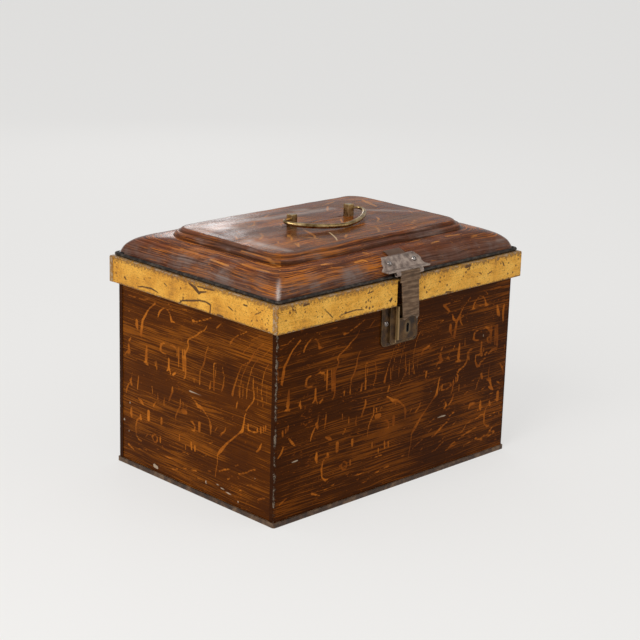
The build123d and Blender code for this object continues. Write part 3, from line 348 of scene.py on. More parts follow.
# Where the marks of the pattern fall on a panel of that width. A shifted upper band also sits a little lower.
patternRepeat = 256
shiftedDrop = 2


def patternOn(width, upperShift, lowerShift, extra=()):
    placed = list(extra)
    upperDrop = shiftedDrop if upperShift else 0
    for band, shift, drop in ((upperMarks, upperShift, upperDrop), (lowerMarks, lowerShift, 0)):
        for repeat in (-patternRepeat, 0, patternRepeat):
            for mark in band:
                if all(0 < x + shift + repeat < width for x, z, r in mark):
                    placed.append([(x + shift + repeat, z - drop, r) for x, z, r in mark])
    return placed


# The distance in millimetres from each point to the edge of the nearest mark, below nought inside it
farAway = 6.0


def markDistance(points, marks):
    nearest = np.full(len(points), farAway)
    for mark in marks:
        for (x0, z0, r0), (x1, z1, r1) in zip(mark, mark[1:] or mark):
            start, run = np.array((x0, z0)), np.array((x1 - x0, z1 - z0), float)
            share = np.clip((points - start) @ run / max(run @ run, 1e-9), 0, 1)
            gap = np.linalg.norm(points - start - share[:, None] * run, axis=1) - (r0 + (r1 - r0) * share)
            nearest = np.minimum(nearest, gap)
    return nearest


# Gives a mesh an attribute with the distance from the marks, on its points that are that far out or further.
# The marks are measured along and up, and start is how far before the middle the first of these begins.
def paintMarks(mesh, attribute, marks, along, up, outward, past, start=0):
    spots = np.array([v.co for v in mesh.vertices]) / mm
    distance = np.full(len(spots), farAway)
    shown = spots @ outward > past
    distance[shown] = markDistance(np.stack([spots[shown] @ along + start, spots[shown] @ up], 1), marks)
    layer = mesh.attributes.new(attribute, "FLOAT", "POINT")
    layer.data.foreach_set("value", distance.astype(np.float32))


# A copy of a CAD node's mesh, its points merged
weldDistance = 0.002 * mm


def mergedCopy(node):
    bm = bmesh.new()
    bm.from_mesh(nodes[node].data)
    bmesh.ops.remove_doubles(bm, verts=bm.verts, dist=weldDistance)
    return bm


# Turns a finished bmesh into a piece on its body, smooth with sharp creases
def finish(name, bm, body, materials, sharp=40, replaced=()):
    for face in bm.faces:
        face.smooth = True
    for edge in bm.edges:
        edge.smooth = edge.calc_face_angle(0) < radians(sharp)
    mesh = bpy.data.meshes.new(name)
    bm.to_mesh(mesh)
    bm.free()
    for material in materials:
        mesh.materials.append(material)
    piece = bpy.data.objects.new(name, mesh)
    scene.collection.objects.link(piece)
    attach(piece, body)
    if replaced:
        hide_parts(*replaced)
    return piece


# The box's sides: the way out, the way along from the left as seen from outside, and the axis that it runs on
sides = {
    "front": {"outward": (0, -1, 0), "along": (1, 0, 0), "axis": 0},
    "left": {"outward": (-1, 0, 0), "along": (0, -1, 0), "axis": 1},
    "right": {"outward": (1, 0, 0), "along": (0, 1, 0), "axis": 1},
    "back": {"outward": (0, 1, 0), "along": (-1, 0, 0), "axis": 0},
}
upwards = (0, 0, 1)


# A merged copy of a CAD sheet, its outer face cut into a fine grid that can carry the painted marks
def finelyCut(prefix, node, side, body, grid, material):
    bm = mergedCopy(node)
    outward = Vector(sides[side]["outward"])
    low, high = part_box(node)
    flat = [f for f in bm.faces if f.normal.dot(outward) > 0.999]
    reach = max(flat, key=lambda f: f.calc_area()).calc_center_median().dot(outward)
    faces = [f for f in flat if abs(f.calc_center_median().dot(outward) - reach) < 0.1 * mm]
    geometry = list({e for f in faces for e in f.edges}) + list({v for f in faces for v in f.verts}) + faces
    for axis, step in zip((sides[side]["axis"], 2), grid):
        count = round((high[axis] - low[axis]) / (step * mm))
        for i in range(1, count):
            spot, normal = Vector((0, 0, 0)), Vector((0, 0, 0))
            spot[axis] = low[axis] + (high[axis] - low[axis]) * i / count
            normal[axis] = 1
            cut = bmesh.ops.bisect_plane(bm, geom=geometry, dist=0.001 * mm, plane_co=spot, plane_no=normal)
            geometry = cut["geom"]
    return finish(prefix + node, bm, body, [material], sharp=35, replaced=[node])


# Grid is the step along and the step up, and past is just short of the outer face
walls = {
    "front": {"grid": (1.6, 2.2), "past": 124.9, "start": halfWidth, "scrapes": frontScrapes,
              "marks": patternOn(2 * halfWidth, -29.5, 38, frontMarks)},
    "left": {"grid": (1.5, 2.2), "past": 177.2, "start": halfDepth, "scrapes": leftScrapes,
             "marks": patternOn(2 * halfDepth, 0, 0)},
    "right": {"grid": (1.6, 2.4), "past": 177.2, "start": halfDepth, "scrapes": frontScrapes,
              "marks": patternOn(2 * halfDepth, 9, -14)},
    "back": {"grid": (1.8, 2.4), "past": 124.9, "start": halfWidth, "scrapes": leftScrapes,
             "marks": patternOn(2 * halfWidth, 61, -47)},
}
for number, (side, wall) in enumerate(walls.items()):
    finished = grainedTin("oilGrainedTin" + side.capitalize(), side in ("left", "right"), number * 37.0)
    piece = finelyCut("grained_", side + "_panel", side, "body", wall["grid"], finished)
    for attribute, marks in (("wiped", wall["marks"]), ("scraped", wall["scrapes"])):
        paintMarks(piece.data, attribute, marks, sides[side]["along"], upwards, sides[side]["outward"],
            wall["past"], wall["start"])
    print("grained wall:", side, len(piece.data.polygons), "faces")


# Ochre oil paint on the lid's tinplate skirt, under an old satin varnish.
# To the eye it is warm yellow, mottled, with brown specks, fine cracks, and edges rubbed dark and pale.
band = {"ochre": "#cf902e", "ochreLight": "#e3a843", "ochreDeep": "#ab7528", "speck": "#4d2b10",
        "crack": "#3d2412", "rubbed": "#ab967c", "edge": "#5f3c1b", "roughness": 0.42, "gloss": 0.2}
# The long strips are given a brighter yellow than the ends: painted light
litLongBand = {**band, "ochre": "#e0a036", "ochreLight": "#f1b74f", "ochreDeep": "#bd8430"}


def ochreSkirt(name, turned, halfLength, seed):
    look = band if turned else litLongBand
    material, add = startMaterial(name)
    flat = objectPlace(add, turned)[1]
    moved = add("VectorMath", "ADD", i0=flat, i1=(seed, seed, seed))
    cloud = add("TexNoise", Vector=moved, Scale=0.045, Detail=6.0, Roughness=0.62)
    drag = streaks(add, moved, 22, 1.3, depth=0.05, Detail=4.0, Roughness=0.6)
    mottle = add("Math", "MULTIPLY_ADD", i0=drag, i1=0.45, i2=cloud)
    ochre = add("ValToRGB",
        stops=[(0.50, look["ochreDeep"]), (0.86, look["ochreLight"]), (0.66, look["ochre"])], Fac=mottle)
    # Specks a millimetre across, thicker in some places
    fine = add("TexNoise", Vector=moved, Scale=1.1, Detail=3.0, Roughness=0.6)
    shaken = add("VectorMath", "MULTIPLY_ADD", i0=(fine, "Color"), i1=(3.0, 3.0, 3.0), i2=moved)
    cells = add("TexVoronoi", Vector=shaken, Scale=0.2, Randomness=1.0)
    patch = add("TexNoise", Vector=moved, Scale=0.06, Detail=3.0)
    speckSize = add("MapRange", Value=patch, From_Min=0.38, From_Max=0.64, To_Min=0.04, To_Max=0.33)
    speckGap = add("Math", "MULTIPLY_ADD", i0=fine, i1=-0.22, i2=(cells, "Distance"))
    speckEdge = add("Math", "SUBTRACT", i0=speckSize, i1=speckGap)
    speckMask = add("MapRange", Value=speckEdge, From_Min=0.1, From_Max=0.15, To_Max=0.85)
    specked = add("Mix", blend, i0=speckMask, i6=ochre, i7=look["speck"])
    freckle = add("MapRange", Value=fine, From_Min=0.555, From_Max=0.64, To_Max=0.6)
    freckled = add("Mix", blend, i0=freckle, i6=specked, i7=look["speck"])
    # Painted cracks and chips
    cracked = add("Attribute", {"attribute_name": "cracked"})
    crackGap = add("Math", "MULTIPLY_ADD", i0=fine, i1=2.4, i2=(cracked, "Fac"))
    crackMask = add("MapRange", Value=crackGap, From_Min=1.75, From_Max=1.25, To_Max=0.92)
    chipped = add("Mix", blend, i0=crackMask, i6=freckled, i7=look["crack"])
    # Edges: dark where the paint has gone, pale where the tin is rubbed, and worn further in along the top
    split = add("SeparateXYZ", Vector=flat)
    fromMiddle = add("Math", "SUBTRACT", i0=(split, "Z"), i1=(ledge + skirtFoot) / 2)
    height = add("Math", "ABSOLUTE", i0=fromMiddle)
    level = add("Math", "SUBTRACT", i0=(ledge - skirtFoot) / 2, i1=height)
    upper = add("MapRange", Value=fromMiddle, From_Max=4.0, To_Min=1.0, To_Max=0.36)
    edgeGap = add("Math", "MULTIPLY", i0=level, i1=upper)
    side = add("Math", "ABSOLUTE", i0=(split, "X"))
    sideGap = add("Math", "SUBTRACT", i0=halfLength, i1=side)
    gap = add("Math", "SMOOTH_MIN", i0=edgeGap, i1=sideGap, i2=1.5)
    ragged = add("TexNoise", Vector=moved, Scale=0.32, Detail=6.0, Roughness=0.75)
    wornGap = add("Math", "MULTIPLY_ADD", i0=ragged, i1=-9.0, i2=gap)
    darkMask = add("MapRange", Value=wornGap, From_Min=-2.7, From_Max=-3.9, To_Max=0.75)
    darkened = add("Mix", blend, i0=darkMask, i6=chipped, i7=look["edge"])
    paleMask = add("MapRange", Value=wornGap, From_Min=-4.3, From_Max=-5.0, To_Max=0.7)
    rubbed = add("Mix", blend, i0=paleMask, i6=darkened, i7=look["rubbed"])
    relief = add("Math", "SUBTRACT", i0=fine, i1=crackMask)
    surface(add, look, rubbed, cloud, relief, strength=0.35)
    return material


# Cracks and chips: millimetres along from the strip's middle, height, half width
leftCracks = [
    [(-84, 208, .3), (-76, 210, .5), (-61, 211, .6), (-50, 209, .3)], [(-16, 205, .5), (-11, 209, .6),
    (4, 212, .7), (16, 215, .6), (26, 215.5, .6), (33, 214, .7), (33, 210, .6), (32, 204, .6)],
    [(-1, 229.5, .5), (5, 228, 1.2), (10, 226, 2), (15, 222.5, 1.4), (18, 224, .9), (26, 226, .5)],
    [(13, 229, .5), (38, 230, .6)], [(83, 225, .6), (88, 225, .5)], [(100, 219, .3), (108, 223, .4)],
    [(60, 218, .4), (66, 216, .5)], [(-106, 214, 1), (-104, 212, .6)], [(44, 206, .8), (52, 206, .6)],
    [(-40, 221, .5), (-36, 219, .4)],
]
frontCracks = [[(-98, 210, .3), (-89, 211, .4), (-76, 211.6, .4), (-66, 210, .3)],
    [(91, 230, 1.4), (97, 230.5, 1.6)], [(-25, 214, 1.3), (-26, 212, .9)], [(-121, 220, .3), (-109, 209, .3)],
    [(128, 216, .5), (134, 218, .4)], [(-150, 229, .9), (-142, 229.5, .5)], [(60, 207, .7), (68, 206, .6)],
    [(152, 226, .4), (155, 221, .5)], [(-60, 226, .4), (-52, 227, .3)], [(110, 208, .5), (116, 207, .4)]]
skirts = {
    "front": {"grid": (1.3, 1.0), "past": 132.0, "halfLength": skirtHalfWidth, "cracks": frontCracks},
    "left": {"grid": (1.1, 1.0), "past": 184.4, "halfLength": skirtHalfDepth, "cracks": leftCracks},
    "right": {"grid": (2.4, 2.2), "past": 184.4, "halfLength": skirtHalfDepth, "cracks": frontCracks},
    "back": {"grid": (2.6, 2.2), "past": 132.0, "halfLength": skirtHalfWidth, "cracks": leftCracks},
}
for number, (side, skirt) in enumerate(skirts.items()):
    painted = "ochreOilPaint" + side.capitalize()
    finished = ochreSkirt(painted, side in ("left", "right"), skirt["halfLength"], number * 53.0)
    piece = finelyCut("painted_", f"lid_{side}_skirt", side, "lid", skirt["grid"],
        finished)
    paintMarks(piece.data, "cracked", skirt["cracks"], sides[side]["along"], upwards, sides[side]["outward"],
        skirt["past"])
    print("ochre skirt:", side, len(piece.data.polygons), "faces")

# Marks on the crown: X, Y, half width
crownMarks = [
    [(-90, -2, .6), (-94, -10, .9), (-100, -16, .8), (-108, -21, .6)],
    [(-72, -24, .6), (-78, -34, 1), (-84, -43, .6)],
    [(-42, -18, 1), (-46, -30, 1.4), (-52, -44, 1.1), (-58, -52, .6)],
    [(-100, -40, .6), (-108, -52, .9), (-114, -58, .6)], [(30, -54, .7), (24, -64, 1.1), (16, -72, .8)],
    [(94, -52, 1), (86, -60, 1.4), (76, -64, .8)], [(116, 42, .8), (108, 24, 1.3), (104, 16, .8)],
    [(60, 50, .6), (50, 40, 1), (44, 34, .6)], [(-60, 40, .6), (-70, 30, .9), (-84, 26, .5)],
    [(-20, 60, .6), (-34, 52, .9)], [(2, -30, .5), (-4, -40, .8)],
    [(66, -20, .6), (60, -30, .9), (50, -38, .6)], [(120, -20, .6), (112, -32, .9)],
    [(-118, 6, .5), (-124, -4, .8)], [(-66, -40, .7), (-60, -52, 1), (-56, -58, .6)],
    [(-88, -58, .6), (-96, -66, .9)], [(-20, -60, .8), (-30, -68, 1.1)],
    [(-66, -22, .4), (-74, -32, .6), (-84, -44, .5), (-90, -54, .5), (-98, -70, .4)],
    [(120, 54, .8), (112, 40, 1.6), (106, 22, .8)], [(86, 66, .6), (72, 61, 1), (60, 58, .5)],
    [(-42, 20, .3), (-50, 8, .5)], [(70, -76, .6), (60, -80, .9)], [(8, -20, .4), (-2, -30, .6)],
    [(30, 0, .4), (20, -12, .7), (14, -20, .4)], [(-104, 20, .4), (-110, 8, .7)], [(84, 20, .4), (76, 6, .7)],
    [(44, -60, .5), (36, -70, .8)],
]
# On the slopes the streaks follow the edge
slopeMarks = [
    [(-159, -50, .7), (-160, -72, 1.1), (-159, -92, .7)], [(-152, 10, .6), (-153, -20, .8), (-152, -44, .5)],
    [(-166, -10, .6), (-167, -40, .8)], [(-148, -60, .6), (-148, -96, .7)],
    [(-141, -30, .6), (-141, -88, .9)], [(-163, 40, .6), (-163, 12, .7)], [(-100, -104, .8), (-86, -106, .6)],
    [(-60, -112, .7), (-48, -111, .9), (-44, -114, .5)], [(-30, -102, .6), (-34, -98, .8)],
    [(60, -108, .7), (74, -106, .9)], [(92, -100, .8), (112, -102, .6)], [(120, -112, .6), (132, -110, .8)],
    [(30, -97, .5), (56, -95, .7)], [(160, -40, .6), (161, -70, .9)], [(152, 20, .7), (153, 60, .8)],
    [(-80, 104, .7), (-50, 106, .9)], [(30, 110, .6), (60, 108, .9)],
]
# The lid's pressing. Each ring is in from the skirt's face, above the ledge, and has its own corner radius.
# Leaf is half the width kept even for the hasp's leaf, the Y that this starts at, and the Y from which the
# dome is lower there. Grain starts are how far the grain's map is shifted on far, long and short sides.
dome = {
    "sheet": 0.6, "cornerSegments": 6, "longCuts": 140, "shortCuts": 96,
    "foot": [(7.6, 0, 3), (7.6, 5.4, 3.6)],
    "slope": [(9.6, 11.4, 6.4), (12.2, 15.4, 9.6), (16.5, 19.4, 14), (23.5, 22.6, 20), (32, 24.5, 24.5),
              (40.5, 25.6, 27)],
    "steps": [(42.4, 28.8, 25.4), (44, 30, 24), (46.8, 30.6, 21.4), (48.6, 33, 19.8), (50.6, 34.2, 18)],
    "crown": [(66, 35.3, 18), (84, 35.8, 18)], "crownStep": 2.0, "middleStrip": 6,
    "dip": 0.88, "lower": 0.25, "postX": 42.9, "leaf": (24, -70, -94), "grainStarts": (900, 600, 1200),
    "wiped": crownMarks + slopeMarks,
    "scraped": [[(-28, -42, -.2), (-40, -64, -.1), (-46, -72, -.3)]],
    # Where the crown gets pale streaks: a painted reflection, also standing for rubbed varnish
    "paled": [[(-86, 58, 1), (-52, 50, 4), (-32, 43, 4), (16, 42, 5), (56, 40, 5)],
              [(-126, 50, 4), (-96, 33, 3)], [(-121, -18, 3), (-121, -46, 4), (-117, -72, 2)],
              [(78, 16, 1), (98, -4, 4), (118, -24, 1)], [(18, 57, 2), (28, 55, 3)]],
}
farFromLeaf = 99


# How far a value is through a stretch, from 0 to 1
def through(value, start, length):
    return max(0, min(1, (value - start) / length))


# A smooth line through the given points, with that many steps between two of them
def smoothThrough(points, steps):
    line, knots = [], [points[0]] + points + [points[-1]]
    for a, b, c, d in zip(knots, knots[1:], knots[2:], knots[3:]):
        for i in range(steps):
            t = i / steps
            line.append(tuple(0.5 * (2 * q + (r - p) * t + (2 * p - 5 * q + 4 * r - s) * t * t
                                     + (3 * q - p - 3 * r + s) * t ** 3) for p, q, r, s in zip(a, b, c, d)))
    return line + [points[-1]]


# A flat rectangle round the middle, its corners rounded
def roundedRectangle(wide, deep, corner, segments):
    bm = bmesh.new()
    bmesh.ops.create_grid(bm, x_segments=1, y_segments=1, size=1)
    bmesh.ops.scale(bm, vec=(wide, deep, 1), verts=bm.verts)
    bmesh.ops.bevel(bm, geom=bm.verts[:], offset=corner, segments=segments, affect="VERTICES", profile=0.5,
        material=-1)
    return bm


# Cuts the long edges that run along one axis
def cutLongEdges(bm, axis, cuts, longerThan=100):
    found = [e for e in bm.edges if abs(e.verts[0].co[axis] - e.verts[1].co[axis]) > longerThan]
    bmesh.ops.subdivide_edges(bm, edges=found, cuts=cuts)


def pressedDome(name, paint, lacquer):
    first = dome["foot"][0]
    wide, deep = skirtHalfWidth - first[0], skirtHalfDepth - first[0]
    bm = roundedRectangle(wide, deep, first[2], dome["cornerSegments"])
    bmesh.ops.delete(bm, geom=bm.faces[:], context="FACES_ONLY")
    cutLongEdges(bm, 0, dome["longCuts"])
    cutLongEdges(bm, 1, dome["shortCuts"])
    # Each point keeps its share of the straight runs and its way out of the corner
    core = bm.verts.layers.float_vector.new("core")
    out = bm.verts.layers.float_vector.new("out")
    travel = bm.verts.layers.float.new("inset")
    down = bm.verts.layers.float.new("down")
    reach = Vector((wide - first[2], deep - first[2], 1))
    for v in bm.verts:
        inner = Vector((max(-reach.x, min(reach.x, v.co.x)), max(-reach.y, min(reach.y, v.co.y)), 0))
        v[core] = (inner.x / reach.x, inner.y / reach.y, 0)
        v[out] = (v.co - inner) / first[2]
    slope = smoothThrough(dome["foot"][1:] + dome["slope"], 4)
    steps = smoothThrough(dome["steps"], 3)
    crown = smoothThrough([dome["steps"][-1]] + dome["crown"], 7)[1:]
    inset, crownRise, crownCorner = crown[-1]
    while inset < skirtHalfDepth - dome["middleStrip"]:
        inset += dome["crownStep"]
        corner = min(crownCorner, max(0.6, (skirtHalfDepth - inset) * 0.6))
        crown.append((inset, crownRise, corner))
    rings = [first] + slope + steps + crown
    edges, length = bm.edges[:], 0
    for i, (inset, rise, radius) in enumerate(rings):
        if i:
            made = bmesh.ops.extrude_edge_only(bm, edges=edges)["geom"]
            edges = [e for e in made if isinstance(e, bmesh.types.BMEdge) and e.is_boundary]
            length += Vector((inset - rings[i - 1][0], rise - rings[i - 1][1])).length
        for v in {v for e in edges for v in e.verts}:
            run = Vector((skirtHalfWidth - inset - radius, skirtHalfDepth - inset - radius, 0))
            v.co = Vector((v[core].x * run.x, v[core].y * run.y, ledge + rise)) + v[out] * radius
            v[travel], v[down] = inset, length
    bmesh.ops.holes_fill(bm, edges=edges, sides=0)
    bmesh.ops.recalc_face_normals(bm, faces=bm.faces[:])
    if sum(f.normal.z for f in bm.faces) < 0:
        bmesh.ops.reverse_faces(bm, faces=bm.faces[:])
    # Old pressed tin isn't flat: it dips a little away from the posts and the hasp's leaf. It is also lower
    # under the leaf, and on the crown away from the posts.
    leafHalf, leafBack, leafFront = dome["leaf"]
    for v in bm.verts:
        posts = min((v.co.xy - Vector((x, 0))).length for x in (-dome["postX"], dome["postX"]))
        leaf = abs(v.co.x) - leafHalf if v.co.y < leafBack else farFromLeaf
        free = through(posts, 14, 12) * through(leaf, 0, 10) * through(v[travel], 9, 8)
        broad = noise.noise(Vector((v.co.x / 48, v.co.y / 48, 3.7)))
        dip = 0.5 + 0.5 * broad + 0.25 * noise.noise(v.co / 17)
        v.co.z -= dome["dip"] * free * max(0, dip)
        underLeaf = through(leafHalf - 2 - abs(v.co.x), 0, 2) * (v.co.y < leafFront) * (v[travel] > 10)
        v.co.z -= dome["lower"] * underLeaf
        v.co.z -= dome["lower"] * through(v[travel], 52, 6) * through(posts, 10, 3)
    # The grain's own map in millimetres: along the edge and down the slope, and plainly across the crown
    grain = bm.loops.layers.uv.new("grain")
    farSide, longSide, shortSide = dome["grainStarts"]
    for f in bm.faces:
        middle = sum((v[travel] for v in f.verts)) / len(f.verts)
        long = abs(sum(v[out].y for v in f.verts)) >= abs(sum(v[out].x for v in f.verts))
        for loop in f.loops:
            v = loop.vert
            if middle > dome["steps"][-1][0]:
                loop[grain].uv = (v.co.x, v.co.y)
            elif long:
                loop[grain].uv = (v.co.x + farSide * (v.co.y > 0), v[down] + longSide)
            else:
                loop[grain].uv = (v.co.y + farSide * (v.co.x > 0), v[down] + shortSide)
    outer = bm.faces[:]
    bmesh.ops.solidify(bm, geom=outer, thickness=dome["sheet"])
    shown = set(outer)
    for f in bm.faces:
        f.material_index = 0 if f in shown else 1
    bmesh.ops.scale(bm, vec=(mm, mm, mm), verts=bm.verts)
    piece = finish(name, bm, "lid", [paint, lacquer], sharp=38, replaced=["lid_dome"])
    for attribute in ("wiped", "scraped", "paled"):
        wider = [[(x, y, r + 0.4) for x, y, r in mark] for mark in dome[attribute]]
        paintMarks(piece.data, attribute, wider, (1, 0, 0), (0, 1, 0), upwards, ledge + 14)
    return piece


# The lid's graining is redder and rubbed, and glossier. Its purple-grey bloom is aged varnish together with
# painted sheen, and its pale is rub together with painted highlight and painted reflection
lidGraining = {
    **graining, "combDark": "#2c0f03", "combMid": "#5d2806", "combLight": "#8c440f", "fineLine": "#d0761a",
    "fleck": "#d98b36", "fleckDeep": "#b3681e", "grimeAndShade": "#331d10", "streakLength": 62.0, "streakWidth": 1.1,
    "hairLength": 34.0, "sway": 5.0, "bloomAndSheen": "#68544b", "pale": "#b7aaa2", "rubbedCrown": "#7a5431",
    "scrape": "#d8b98c", "strayLength": 6.5, "strayWidth": 1.1, "strayFrom": 0.815,
    "corner": (174.5, 121.5, 242.0), "roughness": 0.2, "gloss": 0.06, "glossTint": (1.0, 0.85, 0.7, 1.0),
}


def grainedLid(name):
    look = lidGraining
    material, add = startMaterial(name)
    place, solid = objectPlace(add)
    flat = add("Mapping", Vector=(place[0], "UV"), Rotation=(radians(90), 0, 0))
    paint = combedGlaze(add, look, flat, 11.0)
    inset = add("Attribute", {"attribute_name": "inset"})
    # Zones are shares of the way in from the skirt's face to 60 mm, which is just inside the steps
    share = add("Math", "DIVIDE", i0=(inset, "Fac"), i1=60.0)
    # Bloom of aged varnish with painted sheen along the foot, and painted highlights on the step's edges
    bloomSheenZone = add("ValToRGB", stops=[(0.14, 0.9), (0.92, 0.12), (0.22, 0.7), (0.36, 0.12), (0.67, 0.04),
        (0.71, 0.8), (0.75, 0.3), (0.83, 0.7)], Fac=share)
    aged = add("TexNoise", Vector=solid, Scale=0.03, Detail=5.0, Roughness=0.6)
    streaked = add("Math", "MULTIPLY_ADD", i0=paint["comb"], i1=0.8, i2=aged)
    bloomSheenShare = add("MapRange", Value=streaked, From_Min=0.74, From_Max=1.14, To_Min=0.15, To_Max=1.2)
    bloomSheenMask = add("Math", {"operation": "MULTIPLY", "use_clamp": True}, i0=bloomSheenShare, i1=bloomSheenZone)
    bloomedAndSheened = add("Mix", blend, i0=bloomSheenMask, i6=paint["colour"], i7=look["bloomAndSheen"])
    # Painted shade in the two grooves of the step, in the grime colour
    grooveShade = add("ValToRGB", stops=[(0.64, 0), (0.86, 0), (0.68, 0.75), (0.71, 0), (0.755, 0), (0.785, 0.7),
        (0.81, 0)], Fac=share)
    grooveShaded = add("Mix", blend, i0=grooveShade, i6=bloomedAndSheened, i7=look["grimeAndShade"])
    # The crown is rubbed paler. Near the corners the mitre ridge is painted pale: a painted highlight, also
    # standing for wear
    crown = add("MapRange", Value=(inset, "Fac"), From_Min=50.0, From_Max=62.0)
    rub = add("MapRange", Value=aged, From_Min=0.42, From_Max=0.7, To_Max=0.5)
    crownMask = add("Math", "MULTIPLY", i0=crown, i1=rub)
    rubbed = add("Mix", blend, i0=crownMask, i6=grooveShaded, i7=look["rubbedCrown"])
    plain = add("VectorMath", "ABSOLUTE", i0=solid)
    fromCorner = add("VectorMath", "SUBTRACT", i0=plain, i1=look["corner"])
    cornerGap = add("VectorMath", "LENGTH", i0=fromCorner)
    fromFace = add("SeparateXYZ", Vector=plain)
    mitre = add("Math", "SUBTRACT", i0=(fromFace, "X"), i1=(fromFace, "Y"))
    offMitre = add("Math", "SUBTRACT", i0=mitre, i1=skirtHalfWidth - skirtHalfDepth)
    ridge = add("Math", "ABSOLUTE", i0=offMitre)
    ridgeNear = add("MapRange", Value=(cornerGap, "Value"), From_Min=24.0, From_Max=3.0, To_Max=0.85)
    ridgeWide = add("Math", "MULTIPLY_ADD", i0=paint["fray"], i1=-8.0, i2=ridge)
    ridgeMask = add("MapRange", Value=ridgeWide, From_Min=0.5, From_Max=-4.5)
    cornerHighlightMask = add("Math", "MULTIPLY", i0=ridgeMask, i1=ridgeNear)
    cornerHighlighted = add("Mix", blend, i0=cornerHighlightMask, i6=rubbed, i7=look["pale"])
    # Pale streaks on the crown, broken up along the grain: a painted reflection, also standing for rubbed
    # varnish
    paled = add("Attribute", {"attribute_name": "paled"})
    rubAndReflectionGap = add("Math", "MULTIPLY_ADD", i0=streaked, i1=-16.0, i2=(paled, "Fac"))
    paleMask = add("MapRange", Value=rubAndReflectionGap, From_Min=-9.8, From_Max=-18.5, To_Max=0.42)
    rubAndReflectionStreaked = add("Mix", blend, i0=paleMask, i6=cornerHighlighted, i7=look["pale"])
    scraped = add("Attribute", {"attribute_name": "scraped"})
    scrapeMask = add("MapRange", Value=(scraped, "Fac"), From_Min=0.8, From_Max=0.3, To_Max=0.85)
    scratched = add("Mix", blend, i0=scrapeMask, i6=rubAndReflectionStreaked, i7=look["scrape"])
    relief = add("Math", "MULTIPLY_ADD", i0=paint["fray"], i1=0.4, i2=paint["comb"])
    surface(add, look, scratched, aged, relief, strength=0.12, spread=(0.06, 0.14))
    return material


# Metals and japan: patina from a noise, and edges rubbed bright, found with a bevel. The tones are dark,
# base, light and the rubbed edge. Scale is the size in millimetres of the patina's patches, bars the height
# of level wear bands, and radius that of the rounding that an edge is found by.
metals = {
    # Black asphaltum japan on iron, brushed on: near black and glossy, with pale specks of lost paint
    "blackJapan": {"tones": ("#0c0a09", "#16120f", "#1f1a15", "#6d6258"), "scale": 6, "roughness": 0.16,
                   "metal": 0.0, "wear": 0.15, "radius": 0.5, "specks": "#b7aea3", "gloss": 0.25},
    # Drawn iron wire, oiled: dark grey-brown
    "drawnIron": {"tones": ("#241f1b", "#3b342e", "#5a5148", "#8b8177"), "scale": 5, "roughness": 0.45,
                  "metal": 0.8, "wear": 0.4, "radius": 0.3},
    # Cast and drawn brass, never lacquered: brown patina, rubbed to old gold where fingers touch it
    "antiqueBrass": {"tones": ("#6b5333", "#a3875a", "#ccae7c", "#e0caa2"), "scale": 12, "roughness": 0.24,
                     "metal": 1.0, "wear": 0.7, "radius": 0.9},
    # Sheet bronze, dull: grey-brown with a violet cast and paler rubbed edges. Tongue is the height that the
    # overpainting starts from.
    "dullBronzeLeaf": {"tones": ("#63544a", "#8f7c70", "#b09e8f", "#cbbaaa"), "scale": 7, "roughness": 0.5,
                       "metal": 0.55, "wear": 0.7, "radius": 0.8, "specks": "#4a3a30", "tongue": 254.2},
    "dullBronzeStrap": {"tones": ("#45321f", "#664c35", "#8d7257", "#a3907a"), "scale": 8, "roughness": 0.48,
                        "metal": 0.5, "wear": 0.6, "radius": 0.7, "specks": "#33251a", "bars": 2.2},
    # Sheet brass of the lock, aged to olive brown. The keyhole is its round end's X and height, and its drop.
    # The rib highlight is the X of the case's step, where a highlight is painted.
    "agedLockBrass": {"tones": ("#261708", "#452d12", "#634726", "#a3855a"), "scale": 9, "roughness": 0.42,
                      "metal": 0.6, "wear": 0.75, "radius": 0.7, "specks": "#241608",
                      "keyhole": (1.4, 182.0, 7.0), "rib": -12.2},
    # Iron rivets, polished by wear
    "polishedRivet": {"tones": ("#3b3430", "#766d67", "#b3aba5", "#cfc7c0"), "scale": 3, "roughness": 0.14,
                      "metal": 1.0, "wear": 0.4, "radius": 0.4},
    # The tinned bottom hem, its brown paint mostly gone. Within the walls it is lacquered.
    "wornTinHem": {"tones": ("#2c1c10", "#483120", "#745a42", "#a3927c"), "scale": 11, "roughness": 0.45,
                   "metal": 0.3, "wear": 0.85, "radius": 0.8, "specks": "#1d120c",
                   "lacquered": (175.0, 122.0)},
    # Inside of the lid: brown lacquer over tin
    "brownLacquer": {"tones": ("#2b1c0d", "#3d2914", "#54391f", "#6b5233"), "scale": 30, "roughness": 0.4,
                     "metal": 0.0, "wear": 0.3, "radius": 0.4},
}
# The paint over the leaf's tongue, and the painted shade inside the keyhole
overpaint, holeShade = "#5c3a1f", "#050403"


